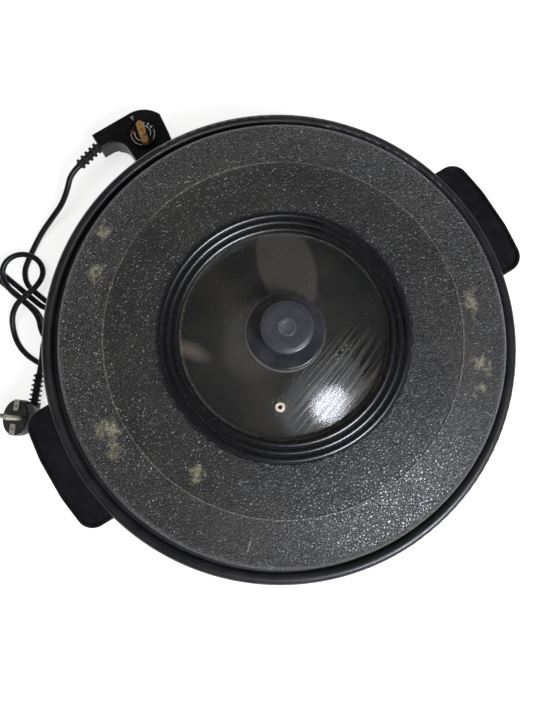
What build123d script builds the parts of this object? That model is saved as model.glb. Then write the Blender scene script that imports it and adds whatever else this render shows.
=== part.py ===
from build123d import *
import math
import os

# Electric multicooker: a wide cast pan with a lift-off lid and a plug-in thermostat on its +Y side.
# Origin: the pan's axis on the table. +Z up, handles on +X and -X. Millimetres.

# Pan casting
rim_radius = 216.5
rim_height = 86.0
lip_depth = 11.0
lip_width = 10.0
lip_round = 4.8
lid_play = 6.1
seat_drop = 6.0
seat_width = 12.0
wall = 3.2
floor_thickness = 4.0
floor_inset = 56.5
floor_height = 34.0
inner_corner = 14.0
outer_corner = 18.0

# Heating element under the floor
element_ring_radius = 104.0
element_radius = 4.0
element_lead_offset = 14.0
element_bend = 14.0
element_lead_end = 154.0
element_boss_wall = 3.5
element_clearance = 0.05
terminal_height = 27.0
terminal_radius = 2.4
terminal_length = 46.0
insulator_wall = 1.2
insulator_length = 12.0

# Probe boss under the floor
probe_radius = 3.0
probe_clearance = 0.08
probe_boss_wall = 3.4
probe_boss_start = 98.0
probe_boss_end = 150.0
probe_bore_depth = 44.0

# Socket shroud under the rim
shroud_inset = 76.5
shroud_end_inset = 10.5
shroud_wall = 2.5
shroud_gap = 1.0
shroud_pan_gap = 0.2
shroud_corner = 4.0
shroud_tab = 11.0
shroud_tab_length = 10.0
shroud_tab_thickness = 3.0

# Feet
foot_circle_radius = 142.0
foot_top_radius = 15.0
foot_bottom_radius = 12.0
foot_edge = 1.5
foot_boss_radius = 9.0
foot_boss_height = 4.0
foot_screw_seat = 22.0
pad_radius = 9.0
pad_height = 3.0
pad_proud = 1.0
screw_radius = 2.0
screw_head_radius = 4.0
screw_head_height = 2.4
screw_clearance = 0.25
screw_bite = 0.05
screw_hole_depth = 7.0

# Side handles
handle_root_inset = 12.5
handle_overhang = 23.5
handle_half_width = 58.6
handle_turn = -1.0
handle_bow = 5.0
handle_corner = 16.0
handle_top = 80.0
handle_thickness = 20.0
handle_bead = 2.6
handle_recess = 1.8
handle_shell = 3.2
handle_root_wall = 5.0
handle_gap = 0.3
handle_edge = 1.2
handle_screw_offset = 32.0
handle_screw_height = 67.0
handle_screw_length = 13.0
lug_radius = 7.0
lug_inset = 34.5

# Lid
lid_shift_x = 1.2
lid_shift_y = -1.5
lid_wall = 2.4
lid_edge_height = 12.0
lid_shoulder = 8.0
groove_radius = 155.5
groove_height = 22.3
groove_width = 2.4
groove_depth = 1.1
bezel_radius = 110.5
bezel_height = 25.5
bezel_gap = 0.3
bezel_step = 2.2
bezel_inner_radius = 91.0
bezel_ridges = 3
ridge_rise = 2.0
bezel_screw_count = 6
bezel_screw_radius = 1.5
bezel_screw_length = 7.0

# Glass, its gasket and the vent
glass_radius = 95.0
glass_brim = 6.0
glass_thickness = 4.0
glass_rise = 18.0
gasket_wall = 1.2
gasket_lip = 0.7
flange_inner_radius = 86.5
flange_drop = 9.4
vent_x = -37.5
vent_y = -50.4
vent_radius = 4.4
vent_bore = 1.85
vent_shank = 2.6
vent_flange = 0.8
vent_fit = 0.1

# Lid knob
knob_base_radius = 32.9
knob_base_height = 3.8
knob_skirt_drop = 2.0
knob_skirt_wall = 2.4
knob_stem_radius = 14.5
knob_stem_height = 10.0
knob_top_radius = 21.6
knob_top_height = 8.4
knob_cap_radius = 7.8
knob_cap_rise = 0.9
knob_cap_depth = 3.0
knob_dimple_radius = 4.0
knob_round = 1.8
knob_seal_height = 1.0
knob_screw_radius = 2.5
knob_screw_bite = 9.0
knob_washer_radius = 11.0
knob_washer_height = 1.5

# Plug-in thermostat housing
dial_offset = 41.5
head_radius = 29.5
head_corner_angle = 25.0
side_slant = 24.0
arm_reach = 44.8
arm_width = 18.0
arm_lift = 4.0
neck_half_width = 20.5
neck_blend = 15.0
neck_inset = 4.5
housing_top = 40.0
housing_bottom = 16.0
housing_split = 29.0
housing_wall = 2.2
housing_edge = 2.2
block_half_width = 21.0
block_half_height = 8.5
block_inset = 34.5
block_reach = 7.5
block_fit = 0.1
block_edge = 1.5
probe_tip = 108.0
sleeve_wall = 1.0
sleeve_length = 26.0
sleeve_clearance = 0.1
pillar_radius = 3.6
housing_screw_radius = 1.4
housing_screw_reach = 4.0
housing_screw_sink = 2.0
housing_pillars = [(17.0, 10.0), (-34.0, 24.5), (-13.0, -19.0)]

# Dial
dial_radius = 13.3
dial_recess_radius = 17.3
dial_recess_depth = 1.5
dial_gap = 0.3
dial_thickness = 4.4
dial_hub_radius = 8.6
dial_hub_rise = 1.0
grip_length = 25.0
grip_width = 7.8
grip_turn = -13.0
grip_height = 5.0
grip_inset = 1.5
grip_round = 1.0
shaft_radius = 2.5
shaft_clearance = 0.06
shaft_end = 29.2
shaft_boss_wall = 2.5

# Switch inside the housing
stack_radius = 4.0
stack_height = 10.0
stack_offset = 30.0
blade_width = 6.0
blade_thickness = 0.6
blade_length = 34.0

# Cord, its reliefs and the plug
cord_diameter = 5.8
relief_core_radius = 3.6
relief_rib_radius = 5.8
relief_length = 29.0
relief_ribs = 5
relief_tip_wall = 0.7
relief_rib_rise = 1.7
relief_rib_share = 0.42
relief_height = 31.0
relief_offset = 19.5
relief_droop = 15.0
relief_flange_radius = 5.5
relief_fit = 0.2
plug_x = -258.0
plug_y = 80.3
plug_lean = 27.0
plug_heading = 50.0
plug_radius = 17.8
plug_face_depth = 9.0
plug_depth = 27.0
plug_rear_radius = 11.0
plug_rear_round = 3.0
plug_neck_radius = 6.4
plug_relief_depth = 20.0
plug_relief_start = 16.6
plug_relief_length = 29.4
plug_relief_ribs = 6
pin_radius = 2.4
pin_length = 19.0
pin_spacing = 19.0
pin_root = 8.0
pin_root_radius = 1.8
pin_tip_round = 1.2
clip_width = 7.0
clip_length = 11.0
clip_thickness = 0.8
clip_side = 8.0

# Hank: loose loops drawn together along their middle
hank_x = -196.5
hank_y = 196.5
hank_angle = -72.0
hank_axis = -1.1
hank_near = 60.0
hank_far = -78.0
hank_fold = 18.0
strand_pitch = 7.2
layer_pitch = 6.4
waist_near = 20.0
waist_far = -42.0
waist_draw = 14.4

# Values that follow from the sizes above
cord_radius = cord_diameter / 2
seat_height = rim_height - seat_drop
seat_outer = rim_radius - lip_width
lid_radius = seat_outer - lid_play
seat_inner = seat_outer - seat_width
floor_top = floor_height + floor_thickness
lip_underside = rim_height - lip_depth
floor_radius = rim_radius - floor_inset
wall_angle = math.atan2(seat_height - floor_top, seat_inner - floor_radius)
lid_top = rim_height + lid_edge_height
groove_top = rim_height + groove_height
bezel_top = rim_height + bezel_height
bezel_seat = bezel_top - bezel_step
flange_top = bezel_seat - flange_drop
glass_edge = flange_top + gasket_wall
gasket_top = glass_edge + glass_thickness + gasket_wall
glass_dome_radius = glass_radius - glass_brim
glass_crown = glass_edge + glass_thickness + glass_rise
glass_sphere = (glass_dome_radius**2 + glass_rise**2) / (2 * glass_rise)
knob_floor = glass_crown + knob_seal_height
knob_base_top = knob_floor + knob_base_height
knob_stem_top = knob_base_top + knob_stem_height
knob_top = knob_stem_top + knob_top_height
foot_height = floor_height - foot_boss_height
shroud_start = rim_radius - shroud_inset
shroud_end = rim_radius - shroud_end_inset
handle_root = rim_radius - handle_root_inset
handle_reach = rim_radius + handle_overhang
lug_start = rim_radius - lug_inset
dial_y = rim_radius + dial_offset
neck_start = rim_radius - neck_inset
block_start = rim_radius - block_inset
block_end = rim_radius + block_reach
stack_y = dial_y - stack_offset
relief_y = dial_y + relief_offset
shroud_half_width = block_half_width + shroud_gap
shroud_half_height = block_half_height + shroud_gap
head_top_y = dial_y + head_radius
dial_floor = housing_top - dial_recess_depth + dial_gap
dial_top = dial_floor + dial_thickness
sleeve_start = block_start + 2.0
under_glass = glass_crown - glass_thickness
lid_place = Pos(lid_shift_x, lid_shift_y, 0)
handle_place = Rot(0, 0, handle_turn)
plug_taper = math.atan2(plug_radius - plug_rear_radius, plug_depth - plug_face_depth)
plug_round_reach = plug_rear_radius + plug_rear_round * (math.tan(plug_taper) - 1 / math.cos(plug_taper))
plug_tilt = math.radians(plug_lean)
plug_height = plug_rear_round + plug_round_reach * math.sin(plug_tilt)
plug_height += (plug_depth - plug_rear_round) * math.cos(plug_tilt)

os.makedirs("parts", exist_ok=True)


def save(node, *solids):
    """Write one named piece, or one group of like pieces, as a STEP file."""
    shape = solids[0] if len(solids) == 1 else Compound(children=list(solids))
    shape.label = node
    export_step(shape, os.path.join("parts", node + ".step"))


def turned(*corners):
    """A solid of revolution about Z from (radius, height, corner radius) corners."""
    points = [(radius, 0, height) for radius, height, _ in corners]
    outline = FilletPolyline(*points, radius=[corner[2] for corner in corners], close=True)
    return revolve(make_face(outline), axis=Axis.Z)


def rod(start, direction, radius, length, bore=0.0):
    """A round bar or sleeve from a point along a direction."""
    plane = Plane(origin=start, z_dir=direction)
    solid = extrude(plane * Circle(radius), amount=length)
    if bore > 0:
        solid -= extrude(plane * Circle(bore), amount=length)
    return solid


def block(x_range, y_range, z_range):
    """A box from its ranges along X, Y and Z."""
    size = [high - low for low, high in (x_range, y_range, z_range)]
    middle = [(high + low) / 2 for low, high in (x_range, y_range, z_range)]
    return Pos(*middle) * Box(*size)


def screw(seat, direction, radius, head_radius, head_height, length):
    """A round-headed screw: its head's flat side is at the seat, its shank points along direction."""
    shank = rod(seat, direction, radius, length)
    head = rod(seat, -Vector(direction), head_radius, head_height)
    far_rim = head.edges().sort_by(Axis(seat, -Vector(direction)))[-1]
    return shank + fillet(far_rim, head_height / 2)


def outer_wall_offset(extra):
    """Corners of the pan's outer wall, grown outwards by extra."""
    reach = wall + extra
    run = reach / math.sin(wall_angle)
    bottom = floor_height - extra
    slope = 1 / math.tan(wall_angle)
    foot = floor_radius + run - (floor_top - bottom) * slope
    top = lip_underside - extra
    head = floor_radius + run + (top - floor_top) * slope
    return (foot, bottom), (head, top)


def pan_envelope(extra):
    """The pan's outside as a full body, grown by extra, for what must clear it."""
    foot, head = outer_wall_offset(extra)
    return turned(
        (0, foot[1], 0),
        (foot[0], foot[1], outer_corner),
        (head[0], head[1], 1),
        (rim_radius + extra, head[1], 2),
        (rim_radius + extra, rim_height + extra, lip_round),
        (0, rim_height + extra, 0),
    )


def pan_cavity():
    """The pan's inside, from the floor to above the rim."""
    return turned(
        (0, floor_top, 0),
        (floor_radius, floor_top, inner_corner),
        (seat_inner, seat_height, 2),
        (seat_outer, seat_height, 0.8),
        (seat_outer, rim_height, lip_round),
        (seat_outer + lip_width / 2, rim_height, 0),
        (seat_outer + lip_width / 2, rim_height + 1, 0),
        (0, rim_height + 1, 0),
    )


def around(radius, count, start=0.0):
    """Points evenly spaced on a circle about the axis."""
    angles = [math.radians(start + 360 * index / count) for index in range(count)]
    return [(radius * math.cos(angle), radius * math.sin(angle)) for angle in angles]


foot_points = around(foot_circle_radius, 4, 45)
shroud_tab_x = shroud_half_width + shroud_wall + shroud_tab / 2
shroud_tab_y = shroud_start + shroud_tab_length / 2


def element_path():
    """The tubular element: a ring open on +Y whose ends bend out into two straight leads."""
    bend_x = element_lead_offset + element_bend
    reach = element_ring_radius + element_bend
    bend_y = math.sqrt(reach**2 - bend_x**2)
    share = element_ring_radius / reach
    touch = (bend_x * share, bend_y * share)
    middle = math.atan2(touch[1] - bend_y, touch[0] - bend_x)
    half = (math.pi + (middle % (2 * math.pi))) / 2
    edges = []
    for side in (1, -1):
        centre = Vector(side * bend_x, bend_y, terminal_height)
        lead = Vector(side * element_lead_offset, bend_y, terminal_height)
        on_ring = Vector(side * touch[0], touch[1], terminal_height)
        halfway = centre + Vector(side * element_bend * math.cos(half), element_bend * math.sin(half), 0)
        straight = Vector(side * element_lead_offset, element_lead_end, terminal_height)
        edges += [Line(straight, lead), ThreePointArc(lead, halfway, on_ring)]
    right = Vector(touch[0], touch[1], terminal_height)
    left = Vector(-touch[0], touch[1], terminal_height)
    far = Vector(0, -element_ring_radius, terminal_height)
    return Wire(edges[:2] + [ThreePointArc(right, far, left)] + edges[3:1:-1])


def element_tube(radius):
    """The element's path swept with a round section."""
    start = Vector(element_lead_offset, element_lead_end, terminal_height)
    section = Plane(origin=start, z_dir=(0, -1, 0)) * Circle(radius)
    return sweep(section, path=element_path())


def make_pan():
    """The casting: dished pan, rolled lip, lid seat, lugs, foot bosses, element ring and probe boss."""
    body = pan_envelope(0)
    for x in (-1, 1):
        for y in (-1, 1):
            start = (x * lug_start, y * handle_screw_offset, handle_screw_height)
            body += handle_place * rod(start, (x, 0, 0), lug_radius, handle_root - lug_start)
    for x, y in foot_points:
        body += rod((x, y, foot_height), (0, 0, 1), foot_boss_radius, foot_boss_height + 1)
    half = element_radius + element_boss_wall
    low = terminal_height - element_radius / 2
    ring = turned(
        (element_ring_radius - half, low, 1.5),
        (element_ring_radius + half, low, 1.5),
        (element_ring_radius + half, floor_height + 1, 0),
        (element_ring_radius - half, floor_height + 1, 0),
    )
    body += ring - block((-half * 4, half * 4), (0, rim_radius), (0, rim_height))
    boss_half = probe_radius + probe_boss_wall
    boss_z = (terminal_height - boss_half, floor_height + 1)
    boss = block((-boss_half, boss_half), (probe_boss_start, probe_boss_end), boss_z)
    body += fillet(boss.edges().filter_by(Axis.Y).group_by(Axis.Z)[0], boss_half / 2)
    body -= pan_cavity()
    groove = element_radius + element_clearance
    body -= element_tube(groove)
    slot = turned(
        (element_ring_radius - groove, 0, 0),
        (element_ring_radius + groove, 0, 0),
        (element_ring_radius + groove, terminal_height, 0),
        (element_ring_radius - groove, terminal_height, 0),
    )
    body -= slot - block((-half * 4, half * 4), (0, rim_radius), (0, rim_height))
    bore = probe_radius + probe_clearance
    body -= rod((0, probe_boss_end, terminal_height), (0, -1, 0), bore, probe_bore_depth)
    hole = screw_radius + screw_bite
    for x, y in foot_points:
        body -= rod((x, y, foot_height), (0, 0, 1), hole, screw_hole_depth)
    for x in (-1, 1):
        body -= rod((x * shroud_tab_x, shroud_tab_y, floor_height), (0, 0, 1), hole, screw_hole_depth / 3)
        for y in (-1, 1):
            start = (x * handle_root, y * handle_screw_offset, handle_screw_height)
            body -= handle_place * rod(start, (-x, 0, 0), hole, handle_screw_length)
    return body


def make_shroud():
    """The guard round the terminals: a rounded sleeve with two fixing tabs, trimmed to the pan."""
    middle = Pos(0, 0, terminal_height)
    outer = RectangleRounded(
        2 * (shroud_half_width + shroud_wall), 2 * (shroud_half_height + shroud_wall), shroud_corner
    )
    inner_corner_radius = shroud_corner - shroud_wall / 2
    inner = RectangleRounded(2 * shroud_half_width, 2 * shroud_half_height, inner_corner_radius)
    plane = Plane(origin=(0, shroud_end, terminal_height), x_dir=(1, 0, 0), z_dir=(0, 1, 0))
    sleeve = extrude(plane * (outer - inner), amount=-(shroud_end - shroud_start))
    low = floor_height - shroud_tab_thickness
    for side in (-1, 1):
        near = side * (shroud_half_width + shroud_wall / 2)
        far = side * (shroud_tab_x + shroud_tab / 2)
        tab = block(
            sorted((near, far)), (shroud_start, shroud_start + shroud_tab_length), (low, floor_height)
        )
        corners = tab.edges().filter_by(Axis.Z).group_by(Axis.X)[-1 if side > 0 else 0]
        sleeve += fillet(corners, shroud_tab_length / 3)
        hole = screw_radius + screw_clearance
        sleeve -= rod((side * shroud_tab_x, shroud_tab_y, 0), (0, 0, 1), hole, rim_height)
    return sleeve - pan_envelope(shroud_pan_gap) - block(
        (-shroud_half_width, shroud_half_width),
        (shroud_start - 1, shroud_start + 1),
        (terminal_height, floor_height),
    )


def handle_outline(inset):
    """The handle from above: bowed outer edge and round corners, inset all round."""
    half = handle_half_width - inset
    reach = handle_reach - inset
    shoulder = reach - handle_bow
    corner = handle_corner - inset
    points = [
        (handle_root, -half),
        (shoulder, -half),
        (reach, -half / 3),
        (reach, half / 3),
        (shoulder, half),
        (handle_root, half),
    ]
    radii = [0, corner, half, half, corner, 0]
    return make_face(FilletPolyline(*points, radius=radii, close=True))


def make_handle():
    """One moulded grip: beaded edge, sunk top, hollow and ribbed below, cut to go under the rim."""
    bottom = handle_top - handle_thickness
    grip = Pos(0, 0, bottom) * extrude(handle_outline(0), amount=handle_thickness)
    bead_edges = grip.edges().group_by(Axis.Z)[-1].filter_by(lambda edge: edge.center().X > handle_root + 1)
    grip = fillet(bead_edges, handle_edge)
    grip -= Pos(0, 0, handle_top - handle_recess) * extrude(handle_outline(handle_bead), amount=handle_recess)
    hollow = Pos(0, 0, bottom) * extrude(
        handle_outline(handle_shell), amount=handle_thickness - handle_recess - handle_shell
    )
    hollow -= block((0, handle_root + handle_root_wall), (-rim_radius, rim_radius), (0, rim_height))
    for y in (-handle_screw_offset / 2, 0, handle_screw_offset / 2):
        rib = block((0, rim_radius * 2), (y - handle_shell / 4, y + handle_shell / 4), (0, rim_height))
        hollow -= rib
    grip -= hollow
    for y in (-1, 1):
        start = (handle_root - 1, y * handle_screw_offset, handle_screw_height)
        grip -= rod(start, (1, 0, 0), screw_radius + screw_clearance, handle_root_wall + 2)
    lip = turned(
        (0, lip_underside - handle_gap, 0),
        (rim_radius + handle_gap, lip_underside - handle_gap, 2),
        (rim_radius + handle_gap, rim_height + 1, 0),
        (0, rim_height + 1, 0),
    )
    return grip - lip


def make_foot(x, y):
    """One moulded foot with a pad pocket and a sunk screw hole."""
    foot = turned(
        (0, pad_proud, 0),
        (foot_bottom_radius, pad_proud, foot_edge),
        (foot_top_radius, foot_height, foot_edge),
        (0, foot_height, 0),
    )
    foot -= rod((0, 0, pad_proud), (0, 0, 1), pad_radius + screw_bite, pad_height - pad_proud)
    foot -= rod((0, 0, 0), (0, 0, 1), screw_head_radius + screw_clearance, foot_screw_seat)
    foot -= rod((0, 0, 0), (0, 0, 1), screw_radius + screw_clearance, foot_height + 1)
    return Pos(x, y, 0) * foot


def make_pad(x, y):
    """One round rubber pad."""
    pad = Cylinder(pad_radius, pad_height, align=(Align.CENTER, Align.CENTER, Align.MIN))
    return Pos(x, y, 0) * fillet(pad.edges().group_by(Axis.Z)[0], pad_proud / 2)


def make_lid_shell():
    """The pressed lid: skirt, domed top with a fine groove, and a sunk flange for the glass."""
    pocket = bezel_radius + bezel_gap
    under = lid_wall
    shell = turned(
        (lid_radius, seat_height, 0.6),
        (lid_radius, lid_top, lid_shoulder),
        (groove_radius, groove_top, 60),
        (pocket, bezel_seat, 0.8),
        (pocket, flange_top, 0.2),
        (flange_inner_radius, flange_top, 0.6),
        (flange_inner_radius, flange_top - under, 0.6),
        (pocket + under, flange_top - under, 1.5),
        (pocket + under, bezel_seat - under, 1.5),
        (groove_radius, groove_top - under, 60),
        (lid_radius - under, lid_top - under, lid_shoulder - under),
        (lid_radius - under, seat_height, 0.6),
    )
    half = groove_width / 2
    groove = turned(
        (groove_radius - half, groove_top + 1, 0),
        (groove_radius, groove_top - groove_depth, 0),
        (groove_radius + half, groove_top + 1, 0),
    )
    shell -= groove
    for x, y in bezel_screw_points():
        shell -= rod((x, y, 0), (0, 0, 1), bezel_screw_radius + screw_bite, flange_top + 1)
    return shell


def bezel_screw_points():
    """Where the bezel's screws stand, in its solid outer part."""
    return around((bezel_radius + glass_radius + gasket_wall) / 2, bezel_screw_count)


def make_bezel():
    """The clamping ring: three round ridges on top, stepped below to bear on flange and gasket."""
    pitch = (bezel_radius - bezel_inner_radius) / bezel_ridges
    valley = bezel_top - ridge_rise
    seal_outer = glass_radius + gasket_wall + bezel_gap
    edges = []
    for index in range(bezel_ridges):
        outer = bezel_radius - index * pitch
        points = [(outer, 0, valley), (outer - pitch / 2, 0, bezel_top), (outer - pitch, 0, valley)]
        edges.append(ThreePointArc(*points))
    edges.append(
        Polyline(
            (bezel_inner_radius, 0, valley),
            (bezel_inner_radius, 0, gasket_top),
            (seal_outer, 0, gasket_top),
            (seal_outer, 0, flange_top),
            (bezel_radius, 0, flange_top),
            (bezel_radius, 0, valley),
        )
    )
    ring = revolve(make_face(edges), axis=Axis.Z)
    for x, y in bezel_screw_points():
        depth = bezel_screw_length - lid_wall
        ring -= rod((x, y, flange_top), (0, 0, 1), bezel_screw_radius + screw_bite, depth)
    return ring


def make_gasket():
    """The channel-section seal round the glass."""
    outer = glass_radius + gasket_wall
    inner = bezel_inner_radius - gasket_lip
    return turned(
        (inner, flange_top, 0.4),
        (outer, flange_top, 0.4),
        (outer, gasket_top, 0.4),
        (inner, gasket_top, 0.4),
        (inner, glass_edge + glass_thickness, 0),
        (glass_radius, glass_edge + glass_thickness, 0),
        (glass_radius, glass_edge, 0),
        (inner, glass_edge, 0),
    )


def dome_drop(radius):
    """How far the glass has fallen from its crown at a radius."""
    return glass_sphere - math.sqrt(glass_sphere**2 - radius**2)


def vent_plane():
    """The place and tilt of the vent on the glass's upper face."""
    height = glass_crown - dome_drop(math.hypot(vent_x, vent_y))
    normal = Vector(vent_x, vent_y, height - glass_crown + glass_sphere)
    return Plane(origin=(vent_x, vent_y, height), z_dir=normal)


def make_glass():
    """The domed glass: flat brim under the seal, one even thickness, holes for knob and vent."""
    brim_top = glass_edge + glass_thickness
    half = glass_dome_radius / 2
    top = [
        (glass_dome_radius, 0, brim_top),
        (half, 0, glass_crown - dome_drop(half)),
        (0, 0, glass_crown),
    ]
    under = [(x, 0, z - glass_thickness) for x, _, z in reversed(top)]
    face = make_face(
        [
            ThreePointArc(*top),
            Line(top[-1], under[0]),
            ThreePointArc(*under),
            Polyline(under[-1], (glass_radius, 0, glass_edge), (glass_radius, 0, brim_top), top[0]),
        ]
    )
    glass = revolve(face, axis=Axis.Z)
    glass -= rod((0, 0, 0), (0, 0, 1), knob_screw_radius + screw_clearance, knob_top)
    bore = vent_plane().offset(-glass_thickness * 2) * Circle(vent_shank + vent_fit)
    return glass - extrude(bore, amount=glass_thickness * 4)


def make_vent():
    """The eyelet: a sleeve with a flange on each face of the glass."""
    plane = vent_plane()
    shank = extrude(plane * Circle(vent_shank), amount=-glass_thickness)
    top = extrude(plane.offset(vent_fit) * Circle(vent_radius), amount=vent_flange)
    neck = extrude(plane.offset(vent_fit) * Circle(vent_shank), amount=-vent_fit)
    low_plane = plane.offset(-glass_thickness - vent_fit)
    low = extrude(low_plane * Circle(vent_radius), amount=-vent_flange)
    low_neck = extrude(low_plane * Circle(vent_shank), amount=vent_fit)
    top = fillet(top.edges().sort_by(Axis(plane.origin, plane.z_dir))[-1], vent_flange / 2)
    eyelet = shank + top + neck + low + low_neck
    hole = extrude(plane.offset(vent_flange * 2) * Circle(vent_bore), amount=-glass_thickness * 3)
    return eyelet - hole


def make_knob_base():
    """The knob's wide skirted foot and its stem."""
    foot = turned(
        (0, knob_floor, 0),
        (knob_base_radius - knob_skirt_wall, knob_floor, 0.8),
        (knob_base_radius - knob_skirt_wall, knob_floor - knob_skirt_drop, 0.4),
        (knob_base_radius, knob_floor - knob_skirt_drop, 0.4),
        (knob_base_radius, knob_base_top, knob_round),
        (knob_stem_radius + 2, knob_base_top, knob_round),
        (knob_stem_radius, knob_stem_top, 0),
        (0, knob_stem_top, 0),
    )
    bore = knob_screw_radius + screw_bite
    return foot - rod((0, 0, knob_floor), (0, 0, 1), bore, knob_screw_bite)


def make_knob_top():
    """The knob's mushroom: round rim, shallow sunk face and a socket for the cap."""
    top = turned(
        (0, knob_stem_top, 0),
        (knob_stem_radius + 1.5, knob_stem_top, 1),
        (knob_top_radius, knob_stem_top + knob_top_height / 3, knob_round),
        (knob_top_radius, knob_top - 1, knob_round),
        (knob_top_radius - 4, knob_top, 3),
        (0, knob_top + 0.4, 0),
    )
    depth = knob_cap_depth
    pocket = rod((0, 0, knob_top - depth), (0, 0, 1), knob_cap_radius + screw_bite, depth + 2)
    return top - pocket


def make_knob_cap():
    """The small centre cap with its round dimple."""
    cap = turned(
        (0, knob_top - knob_cap_depth, 0),
        (knob_cap_radius, knob_top - knob_cap_depth, 0.3),
        (knob_cap_radius, knob_top + knob_cap_rise, 0.7),
        (knob_dimple_radius + 0.8, knob_top + knob_cap_rise, 0.6),
        (knob_dimple_radius, knob_top, 0.3),
        (0, knob_top - 0.2, 0),
    )
    return cap


def housing_outline(inset):
    """The housing from above: round head, straight arm on -X, neck towards the pan, inset all round."""
    radius = head_radius - inset
    angle = math.radians(head_corner_angle)
    corner = (radius * math.cos(angle), dial_y + radius * math.sin(angle))
    half_angle = (math.pi / 2 + angle) / 2
    crown = (radius * math.cos(half_angle), dial_y + radius * math.sin(half_angle))
    neck = neck_half_width - inset
    blend = neck_blend + inset
    arm_end = -arm_reach + inset
    arm_low = head_top_y - arm_width + inset
    turn_y = arm_low - blend
    lean = (-neck - blend, turn_y)
    bulge = (lean[0] + blend * math.sqrt(0.5), lean[1] + blend * math.sqrt(0.5))
    edges = [
        Line((arm_end, dial_y + radius), (0, dial_y + radius)),
        ThreePointArc((0, dial_y + radius), crown, corner),
        Polyline(
            corner,
            (side_slant - inset, dial_y - head_radius / 3),
            (neck, dial_y - head_radius),
            (neck, neck_start + inset),
            (-neck, neck_start + inset),
            (-neck, turn_y),
        ),
        ThreePointArc((-neck, turn_y), bulge, (lean[0], arm_low)),
        Polyline((lean[0], arm_low), (arm_end, arm_low), (arm_end, dial_y + radius)),
    ]
    return make_face(edges)


def housing_shell(low, high, open_low):
    """One half of the housing as a shell between two heights."""
    solid = Pos(0, 0, low) * extrude(housing_outline(0), amount=high - low)
    rounded = solid.edges().group_by(Axis.Z)[-1 if open_low else 0]
    solid = fillet(rounded, housing_edge)
    cavity_low = low if open_low else low + housing_wall
    cavity_high = high - housing_wall if open_low else high
    cavity = Pos(0, 0, cavity_low) * extrude(housing_outline(housing_wall), amount=cavity_high - cavity_low)
    return solid - cavity


def pillar_seats():
    """Each screw pillar's place and the height of its screw's seat."""
    seats = []
    for x, offset in housing_pillars:
        low = housing_bottom + (arm_lift if x < -neck_half_width else 0)
        seats.append((x, dial_y + offset, low + housing_screw_sink))
    return seats


def block_pocket():
    """The room that the terminal block takes in the housing, with its fit."""
    half = block_half_width - housing_wall + block_fit
    tall = block_half_height + block_fit
    return block((-half, half), (neck_start - 1, block_end), (terminal_height - tall, terminal_height + tall))


def make_cover():
    """The upper housing with the dial's recess and boss."""
    cover = housing_shell(housing_split, housing_top, True)
    boss = shaft_radius + shaft_boss_wall
    cover += rod((0, dial_y, housing_split + 2), (0, 0, 1), boss, housing_top - housing_split - 2)
    floor_disc = dial_recess_depth + housing_wall
    cover += rod((0, dial_y, housing_top - floor_disc), (0, 0, 1), dial_recess_radius + 1, floor_disc)
    for x, y, _ in pillar_seats():
        cover += rod((x, y, housing_split), (0, 0, 1), pillar_radius, housing_top - housing_split - 1)
        bite = housing_screw_radius + screw_bite
        cover -= rod((x, y, housing_split), (0, 0, 1), bite, housing_screw_reach + 1)
    recess = rod((0, dial_y, housing_top - dial_recess_depth), (0, 0, 1), dial_recess_radius, 5)
    cover -= recess
    cover -= rod((0, dial_y, 0), (0, 0, 1), shaft_radius + shaft_clearance, housing_top + 1)
    return cover - block_pocket() - relief_solid(relief_bore=True)


def make_base():
    """The lower housing, with a thinner arm and screw pillars."""
    base = housing_shell(housing_bottom, housing_split, False)
    arm = block(
        (-arm_reach - 1, -neck_half_width - neck_blend / 2),
        (dial_y, head_top_y + 1),
        (housing_bottom - 1, housing_bottom + arm_lift),
    )
    arm_floor = block(
        (-arm_reach + housing_wall, -neck_half_width),
        (head_top_y - arm_width + housing_wall, head_top_y - housing_wall),
        (housing_bottom + housing_wall, housing_bottom + arm_lift + housing_wall),
    )
    base = base + arm_floor - arm
    head = housing_screw_radius * 2 + screw_clearance
    for x, y, seat in pillar_seats():
        base += rod((x, y, seat - 1), (0, 0, 1), pillar_radius, housing_split - seat + 1)
        base -= rod((x, y, 0), (0, 0, 1), head, seat)
        base -= rod((x, y, 0), (0, 0, 1), housing_screw_radius + screw_clearance, housing_split + 1)
    return base - block_pocket() - relief_solid(relief_bore=True)


def make_terminal_block():
    """The heat-proof block that holds probe and sleeves, stepped where the housing grips it."""
    nose = block(
        (-block_half_width, block_half_width),
        (block_start, neck_start),
        (terminal_height - block_half_height, terminal_height + block_half_height),
    )
    nose = fillet(nose.edges().filter_by(Axis.Y), block_edge)
    nose = chamfer(nose.faces().sort_by(Axis.Y)[0].edges(), block_edge / 2)
    half = block_half_width - housing_wall
    tail = block(
        (-half, half),
        (neck_start, block_end),
        (terminal_height - block_half_height, terminal_height + block_half_height),
    )
    body = nose + tail
    body -= rod((0, 0, terminal_height), (0, 1, 0), probe_radius + screw_bite, block_end + 1)
    for side in (-1, 1):
        x = side * element_lead_offset
        sleeve = terminal_radius + sleeve_clearance + sleeve_wall
        body -= rod((x, sleeve_start, terminal_height), (0, 1, 0), sleeve + screw_bite, sleeve_length)
        mouth = terminal_radius + sleeve_clearance * 4
        body -= rod((x, block_start - 1, terminal_height), (0, 1, 0), mouth, sleeve_start - block_start + 1)
    return body


def relief_direction():
    """The way the cord leaves the arm, drooping towards the pan."""
    droop = math.radians(relief_droop)
    return Vector(-math.cos(droop), -math.sin(droop), 0)


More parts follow.
